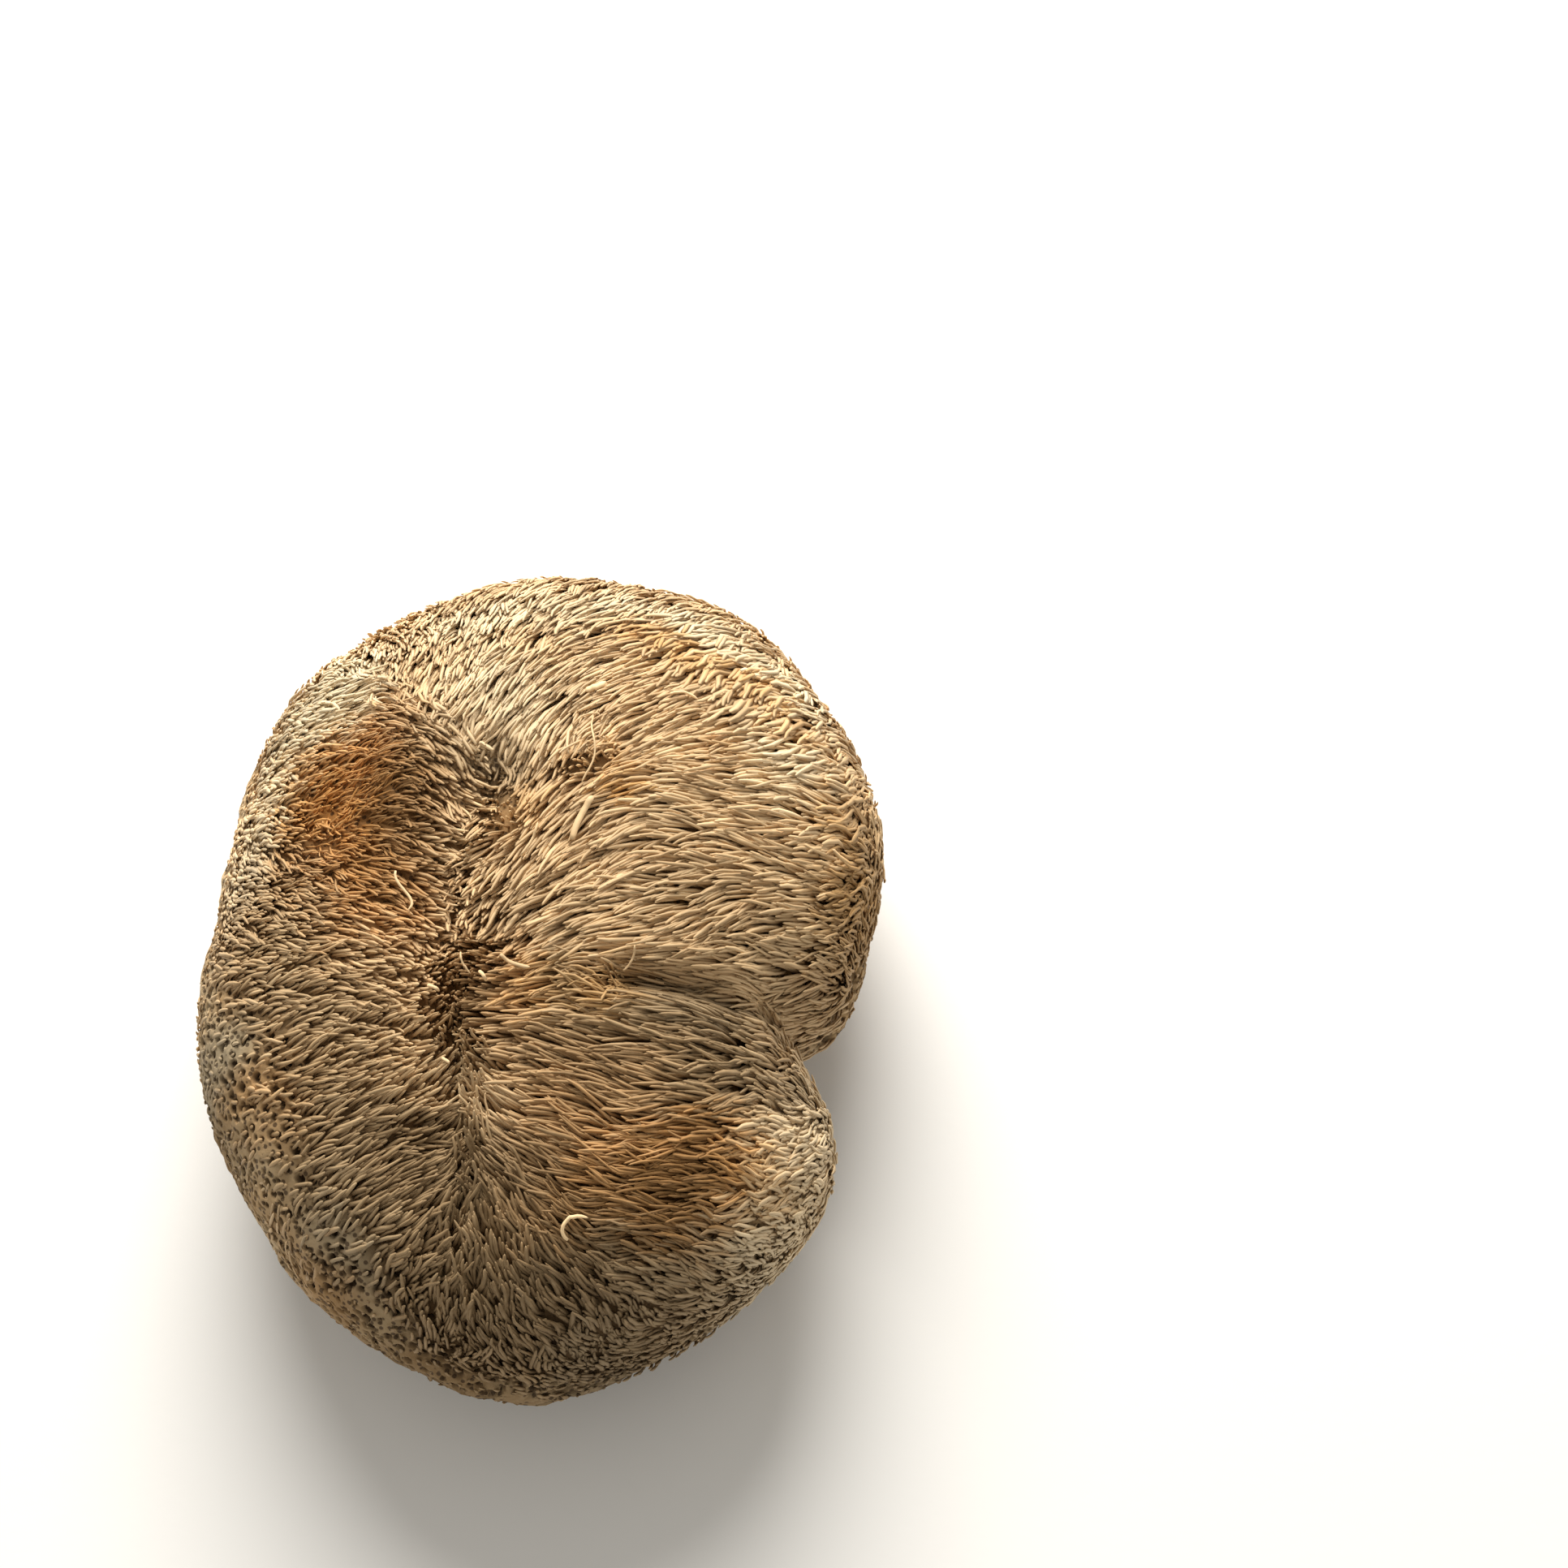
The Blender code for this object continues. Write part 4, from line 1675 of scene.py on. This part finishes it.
@dataclass(frozen=True)
class FloorFinish:
    """A plain pale matt floor."""

    name: str = "pale_floor"
    colour: tuple[float, float, float] = (0.86, 0.86, 0.85)
    darkest: float = 0.985
    clouds: float = 0.4
    roughness: float = 0.9
    cloud_roughness: float = 0.05
    grain: float = 2 * MM
    relief: float = 0.02 * MM

    def material(self) -> bpy.types.Material:
        """Builds the material.

        Returns:
            The material.
        """
        bench = Bench(self.name)
        clouds = bench.noise(self.clouds)
        darkest = tuple(self.darkest * each for each in self.colour)
        colour = bench.mixed(clouds, self.colour, darkest)
        roughness = self.roughness + clouds * self.cloud_roughness
        return bench.finish(colour, roughness, bench.noise(self.grain), self.relief)


def carry(mesh: bpy.types.Mesh, name: str, values: Array) -> None:
    """Writes one number for each vertex of a mesh."""
    made = mesh.attributes.new(name, "FLOAT", "POINT")
    made.data.foreach_set("value", np.ascontiguousarray(values, np.float32))


def read_vectors(mesh: bpy.types.Mesh, name: str) -> Array:
    """Reads one vector for each vertex of a mesh.

    Args:
        mesh: the mesh.
        name: "co" for their places, "normal" for their normals.

    Returns:
        (n, 3) vectors.
    """
    values = np.empty(len(mesh.vertices) * 3, np.float32)
    mesh.vertices.foreach_get(name, values)
    return values.reshape(-1, 3).astype(float)


def dress(name: str, mesh: bpy.types.Mesh, material: bpy.types.Material) -> bpy.types.Object:
    """Makes a piece of the mushroom from a mesh that is already in its place.

    Args:
        name: the piece's name.
        mesh: its mesh, in the part's frame.
        material: its finish.

    Returns:
        The piece, which rides on the part and stands for its solid.
    """
    mesh.materials.append(material)
    mesh.shade_smooth()
    piece = bpy.data.objects.new(name, mesh)
    bpy.context.scene.collection.objects.link(piece)
    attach(piece, "root")
    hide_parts(NODE)
    triangles = sum(max(0, len(face.vertices) - 2) for face in mesh.polygons)
    LOG.info("%s: %d faces, %d triangles", name, len(mesh.polygons), triangles)
    return piece


@dataclass
class SpineSets:
    """The coat's meshes: the spines shared out among a few pieces.

    Attributes:
        strip_along: how many pixels of the map a spine's strip has along the spine.
        strip_across: how many it has around the spine.
        map_side: how many pixels wide the map is.
        inset: how many pixels inside its strip's edge a spine lies.
    """

    name: str
    pattern: SpinePattern
    stains: StainMap
    sets: int
    strip_along: int = 26
    strip_across: int = 11
    map_side: int = 1024
    inset: float = 1.5

    def mesh(self, name: str, skins: Array, batch: SpineBatch) -> bpy.types.Mesh:
        """Joins spines into one mesh.

        Args:
            name: the mesh's name.
            skins: (n, k, 3) vertices of the spines, in the part's frame.
            batch: the same spines.

        Returns:
            The mesh, with its map and the numbers that the finish reads.
        """
        count, each = skins.shape[:2]
        pattern = self.pattern
        mesh = bpy.data.meshes.new(name)
        loops = pattern.loops[None] + (np.arange(count) * each)[:, None]
        starts = pattern.starts[None] + (np.arange(count) * len(pattern.loops))[:, None]
        mesh.vertices.add(count * each)
        mesh.vertices.foreach_set("co", skins.astype(np.float32).ravel())
        mesh.loops.add(loops.size)
        mesh.loops.foreach_set("vertex_index", loops.astype(np.int32).ravel())
        mesh.polygons.add(starts.size)
        mesh.polygons.foreach_set("loop_start", starts.astype(np.int32).ravel())
        mesh.update(calc_edges=True)
        self.lay_map(mesh, count)
        points = (skins + batch.stray[:, None]).reshape(-1, 3)
        for stain in Stain:
            carry(mesh, stain.value, self.stains.weights(points, stain))
        carry(mesh, "along", np.tile(pattern.places[pattern.rings], count))
        carry(mesh, "tone", np.repeat(batch.tone, each))
        # depth: how deep the painted shade at each spine's root is
        carry(mesh, "depth", np.repeat(batch.depth, each))
        return mesh

    def lay_map(self, mesh: bpy.types.Mesh, count: int) -> None:
        """Gives every spine a strip of its own in the mesh's map.

        Args:
            mesh: the mesh of the spines.
            count: how many spines it has.
        """
        columns = self.map_side // self.strip_along
        rows = math.ceil(count / columns)
        index = np.arange(count)
        corner = np.stack([index % columns / columns, index // columns / rows], axis=1)
        inset = np.array([self.inset / self.strip_along, self.inset / self.strip_across])
        places = inset + self.pattern.map * (1 - 2 * inset)
        size = np.array([1 / columns, 1 / rows])
        layer = mesh.uv_layers.new(name="OFBake")
        whole = corner[:, None] + places[None] * size
        layer.uv.foreach_set("vector", whole.astype(np.float32).ravel())

    def build(self, skins: Array, batch: SpineBatch, material: bpy.types.Material) -> None:
        """Makes the pieces, each with an even share of the spines.

        Args:
            skins: (n, k, 3) vertices of the spines, in the part's frame.
            batch: the same spines.
            material: their finish.
        """
        for number in range(self.sets):
            index = np.arange(number, len(skins), self.sets)
            name = f"{self.name}_{number + 1}"
            dress(name, self.mesh(name, skins[index], batch.picked(index)), material)


@dataclass
class Flesh:
    """The body under the spines: pores and wrinkles at the margin, and a stump cut off flat.

    Attributes:
        cells: how many faces there are along each side of the cube that the body is drawn from.
        finer: how bare the flesh is at least where each further division is made.
        in_view: the height above which, and the degrees clockwise from -X between which, the
            second and later divisions are made.
        stump_share: the stump's radius as a share of half the cube's side.
        neck: the size of the ring where the stump leaves the body, as a share of its radii.
        stump_rings: size and height in mm of the rings down the stump.
        cut_rings: the sizes of the rings across the cut.
        lobes: how many lobes the stump's outline has, how high, and how far turned.
        pore_radius: the smallest pore's radius, and what chance adds to it at most.
        pore_edge: how far beyond its radius, in radii, a pore starts, and how soon it is deep.
        pore_bareness: how bare the flesh is at least where it has pores.
        pit_fade: how bare it is where pores have no depth, and where they have their full one.
        cover_fade: how bare it is where the coat's painted shadow starts to fade, and where it
            ends.
        wrinkles: height in mm, size and seed of each layer of wrinkles.
        cut_grain: height in mm of the grain of the cut, and the size and seed of its layers.
    """

    form: BodyForm
    margin: Margin
    tracts: TractMap
    cells: int = 42
    finer: tuple[float, ...] = (0.02, 0.12, 0.12)
    in_view: tuple[float, float, float] = (28 * MM, -105, 60)
    stump_share: float = 0.265
    neck: float = 1.25
    stump_radii: tuple[float, float] = (21.5 * MM, 24.0 * MM)
    stump_centre: tuple[float, float] = (0.0, -2.0 * MM)
    stump_rings: tuple[tuple[float, float], ...] = (
        (1.16, 7.0), (1.06, 5.6), (0.97, 4.2), (0.93, 3.0), (0.94, 1.6), (0.975, 0.6),
    )
    cut_rings: tuple[float, ...] = (1.0, 0.94, 0.86, 0.77, 0.67, 0.56, 0.44, 0.31, 0.17)
    cut_softness: float = 1.2 * MM
    lobes: tuple[tuple[int, float, float], ...] = ((3, 0.05, 0.7), (5, 0.03, 0.0))
    pore_candidates: int = 60_000
    pore_spacing: float = 1.05 * MM
    pore_spread: tuple[float, float] = (0.7, 1.7)
    pore_radius: tuple[float, float] = (0.36 * MM, 0.42 * MM)
    pore_depth: float = 1.5 * MM
    pore_edge: tuple[float, float] = (1.25, 0.6)
    pore_bareness: float = 0.1
    pit_fade: tuple[float, float] = (0.0, 0.3)
    cover_fade: tuple[float, float] = (0.05, 0.6)
    wrinkles: tuple[tuple[float, float, int], ...] = (
        (0.5, 6 * MM, 31), (0.28, 2 * MM, 32), (0.12, 0.8 * MM, 35),
    )
    cut_grain: tuple[float, tuple[tuple[float, int], ...]] = (
        0.35, ((1.6 * MM, 33), (4 * MM, 34)),
    )

    def draw(self) -> bpy.types.Mesh:
        """Draws the flesh before it is fitted: a divided cube laid on the form, and the stump.

        Returns:
            The mesh.
        """
        bm = bmesh.new()
        bmesh.ops.create_cube(bm, size=2.0)
        bmesh.ops.subdivide_edges(bm, edges=bm.edges[:], cuts=self.cells - 1, use_grid_fill=True)
        middle = []
        for face in bm.faces:
            centre = face.calc_center_median()
            if centre.z < -0.999 and centre.xy.length < self.stump_share:
                middle.append(face)
        stump = bmesh.ops.dissolve_faces(bm, faces=middle, use_verts=True)["region"][0]
        bm.verts.index_update()
        cube = np.array([vert.co for vert in bm.verts])
        points = self.form.outwards(unit(np.tan(cube * math.pi / 4)))
        for vert, point in zip(bm.verts, points):
            vert.co = point
        self.refine(bm, stump)
        self.draw_stump(bm, stump)
        bmesh.ops.recalc_face_normals(bm, faces=bm.faces[:])
        mesh = bpy.data.meshes.new("flesh")
        bm.to_mesh(mesh)
        bm.free()
        return mesh

    def refine(self, bm: bmesh.types.BMesh, stump: bmesh.types.BMFace) -> None:
        """Divides the faces where the flesh is bare, most where its pores are in view.

        Args:
            bm: the flesh.
            stump: the face that the stump grows from, which stays whole.
        """
        lowest, first, last = self.in_view
        for division, least in enumerate(self.finer):
            faces = [face for face in bm.faces if face is not stump]
            centres = np.array([face.calc_center_median() for face in faces])
            chosen = self.margin.bareness(centres) > least
            if division > 0:
                azimuth = np.degrees(np.arctan2(centres[:, 1], -centres[:, 0]))
                chosen &= (centres[:, 2] > lowest) & (azimuth > first) & (azimuth < last)
            fine = {edge for face, yes in zip(faces, chosen) if yes for edge in face.edges}
            fine -= set(stump.edges)
            bmesh.ops.subdivide_edges(bm, edges=list(fine), cuts=1, use_grid_fill=True)

    def draw_stump(self, bm: bmesh.types.BMesh, face: bmesh.types.BMFace) -> None:
        """Draws the stump down to its cut, and rings across the cut.

        Args:
            bm: the flesh.
            face: the face that the stump grows from.
        """
        self.set_ring(face, self.neck, None)
        for scale, height in self.stump_rings:
            face = bmesh.ops.extrude_discrete_faces(bm, faces=[face])["faces"][0]
            self.set_ring(face, scale, height * MM)
        for scale in self.cut_rings:
            face = bmesh.ops.extrude_discrete_faces(bm, faces=[face])["faces"][0]
            self.set_ring(face, scale, 0.0)
        bmesh.ops.poke(bm, faces=[face])

    def set_ring(self, face: bmesh.types.BMFace, scale: float, height: float | None) -> None:
        """Sets the corners of the stump's end on an uneven oval.

        Args:
            face: the stump's end.
            scale: the oval's size as a share of the stump's radii.
            height: its height, or None where the corners keep their own.
        """
        middle_x, middle_y = self.stump_centre
        radius_x, radius_y = self.stump_radii
        for vert in face.verts:
            azimuth = math.atan2(vert.co.y - middle_y, vert.co.x - middle_x)
            bulge = 1.0
            for count, rise, turn in self.lobes:
                bulge += rise * math.sin(count * azimuth + turn)
            vert.co.x = middle_x + radius_x * scale * bulge * math.cos(azimuth)
            vert.co.y = middle_y + radius_y * scale * bulge * math.sin(azimuth)
            if height is not None:
                vert.co.z = height

    def pores(self, rng: np.random.Generator) -> tuple[Array, Array]:
        """Scatters pores over the bare flesh.

        Args:
            rng: places them.

        Returns:
            (n, 3) places of the pores, and their radii.
        """
        points = self.form.outwards(unit(rng.normal(size=(self.pore_candidates, 3))))
        points = points[self.margin.bareness(points) > self.pore_bareness]
        spacing = self.pore_spacing * rng.uniform(*self.pore_spread, len(points))
        points = points[thin_out(points, spacing, rng)]
        smallest, spread = self.pore_radius
        return points, smallest + spread * rng.random(len(points)) ** 2

    def shape(self, mesh: bpy.types.Mesh, rng: np.random.Generator) -> Array:
        """Sinks the pores and raises the wrinkles.

        Args:
            mesh: the flesh as drawn. It gets the numbers that its finish reads.
            rng: places the pores.

        Returns:
            (n, 3) vertices of the flesh.
        """
        points, normals = (read_vectors(mesh, name) for name in ("co", "normal"))
        bare = self.margin.bareness(points)
        places, radii = self.pores(rng)
        index, gap = nearest(points, places)
        start, deep = self.pore_edge
        pit = smooth_step(start - gap / radii[index], 0.0, deep)
        pit = pit * smooth_step(bare, *self.pit_fade)
        wrinkle = sum(rise * soft_noise(points, size, seed) for rise, size, seed in self.wrinkles)
        lift = self.margin.lift(points, bare, self.tracts.read(points, "cover"))
        height = lift + wrinkle * MM * bare - self.pore_depth * pit
        on_cut = smooth_step(-points[:, 2], -self.cut_softness, 0.0)
        rise, layers = self.cut_grain
        grain = rise * sum(soft_noise(points, size, seed) for size, seed in layers) * MM
        height = height * (1 - on_cut) - on_cut * np.maximum(grain, 0.0)
        # pit also darkens the flesh's colour in the pores: painted shade
        carry(mesh, "pit", pit * (1 - on_cut))
        # painted shade under the coat, fading out where the flesh is bare
        shade = self.tracts.read(points, "shade")
        painted_cover_shade = 1 - smooth_step(bare, *self.cover_fade)
        carry(mesh, "painted_cover_shade", painted_cover_shade * (1 - on_cut) * shade)
        return points + normals * height[:, None]


@dataclass
class Mushroom:
    """The whole dried mushroom, whose spines are shared out among a few pieces."""

    form: BodyForm = BodyForm()
    comb: Comb = Comb()
    margin: Margin = Margin()
    tracts: TractMap = TractMap()
    stains: StainMap = StainMap()
    litter: LooseBits = LooseBits()
    spine_pieces: int = 7

    def build(self) -> None:
        """Grows the coat, shapes the flesh, fits both to the solid and dresses them."""
        rng = np.random.default_rng(SEED)
        pattern = SpinePattern()
        batch = Coat(self.form, self.comb, self.margin, self.tracts, pattern).grow(rng)
        skins = batch.skins(pattern)
        flesh = Flesh(self.form, self.margin, self.tracts)
        mesh = flesh.draw()
        shaped = flesh.shape(mesh, rng)
        both = np.concatenate([skins.reshape(-1, 3), shaped])
        fit = Fit(both.min(axis=0), both.max(axis=0))
        LOG.info("before fitting: %s to %s", fit.low.round(5), fit.high.round(5))
        shaped, fitted = fit.apply(shaped), fit.apply(skins)
        mesh.vertices.foreach_set("co", shaped.astype(np.float32).ravel())
        mesh.update()
        for stain in Stain:
            carry(mesh, stain.value, self.stains.weights(shaped, stain))
        dress("flesh", mesh, FleshFinish().material())
        finish = SpineFinish().material()
        coat = SpineSets("spines", pattern, self.stains, self.spine_pieces)
        coat.build(fitted, batch, finish)
        slender = self.litter.pattern()
        bits = self.litter.batch(fitted.reshape(-1, 3), slender)
        SpineSets("loose_bits", slender, self.stains, 1).build(bits.skins(slender), bits, finish)


@dataclass(frozen=True)
class Studio:
    """A plain pale floor, soft light from behind and above, and the camera.

    The camera looks down steeply, and the body lies left of and below the middle of the picture.

    Attributes:
        aim: the place that is seen at the frame's place below.
        aim_in_frame: shares of the frame's width and height, from its upper left corner.
        key_colour: the large light's colour; fill_colour, that of the surroundings.
    """

    view_angle: float = math.radians(42)
    look_down: float = math.radians(61.5)
    distance: float = 0.3345
    aim: tuple[float, float, float] = (-0.0012, -0.0060, 0.029)
    aim_in_frame: tuple[float, float] = (665 / 1932, 1220 / 1932)
    sensor: float = 36.0
    clip: tuple[float, float] = (0.01, 20.0)
    floor_side: float = 6.0
    floor_cells: int = 8
    key_place: tuple[float, float, float] = (-0.06, 0.76, 0.66)
    key_target: tuple[float, float, float] = (0.0, 0.0, 0.03)
    key_side: float = 0.75
    key_power: float = 17.0
    key_colour: tuple[float, float, float] = (1.0, 0.965, 0.91)
    fill_colour: tuple[float, float, float] = (1.0, 0.955, 0.875)
    fill_strength: float = 0.50

    def camera(self) -> None:
        """Places the camera so that the aim is seen at its place in the frame."""
        data = bpy.data.cameras.new("camera")
        data.sensor_width = self.sensor
        data.lens = data.sensor_width / 2 / math.tan(self.view_angle / 2)
        data.clip_start, data.clip_end = self.clip
        ahead = Vector((0.0, math.cos(self.look_down), -math.sin(self.look_down)))
        right = Vector((1.0, 0.0, 0.0))
        above = right.cross(ahead)
        half = math.tan(self.view_angle / 2) * self.distance
        sideways = (2 * self.aim_in_frame[0] - 1) * half
        upwards = (1 - 2 * self.aim_in_frame[1]) * half
        camera = bpy.data.objects.new("camera", data)
        place = Vector(self.aim) - ahead * self.distance - right * sideways
        camera.location = place - above * upwards
        camera.rotation_euler = (math.pi / 2 - self.look_down, 0.0, 0.0)
        bpy.context.scene.collection.objects.link(camera)
        bpy.context.scene.camera = camera

    def light(self) -> None:
        """Hangs one large soft light and sets the pale surroundings."""
        data = bpy.data.lights.new("key", "AREA")
        data.shape, data.size, data.energy = "DISK", self.key_side, self.key_power
        data.color = self.key_colour
        key = bpy.data.objects.new("key", data)
        key.location = self.key_place
        back = Vector(self.key_place) - Vector(self.key_target)
        key.rotation_euler = back.to_track_quat("Z", "Y").to_euler()
        bpy.context.scene.collection.objects.link(key)
        world = bpy.data.worlds.new("surroundings")
        bpy.context.scene.world = world
        world.use_nodes = True
        background = world.node_tree.nodes["Background"]
        background.inputs["Color"].default_value = (*self.fill_colour, 1.0)
        background.inputs["Strength"].default_value = self.fill_strength

    def floor(self) -> None:
        """Lays the floor."""
        bm = bmesh.new()
        cells = self.floor_cells
        bmesh.ops.create_grid(bm, x_segments=cells, y_segments=cells, size=self.floor_side / 2)
        mesh = bpy.data.meshes.new("floor")
        bm.to_mesh(mesh)
        bm.free()
        mesh.materials.append(FloorFinish().material())
        floor = bpy.data.objects.new("floor", mesh)
        bpy.context.scene.collection.objects.link(floor)

    def build(self) -> None:
        """Sets up the whole studio."""
        self.camera()
        self.light()
        self.floor()
        bpy.context.scene.view_settings.view_transform = "Standard"


def main() -> None:
    """Builds the mushroom and the studio; each piece of the mushroom logs its faces and triangles.
    """
    logging.basicConfig(level=logging.INFO, format="%(message)s")
    Mushroom().build()
    Studio().build()


if __name__ == "__main__":
    main()
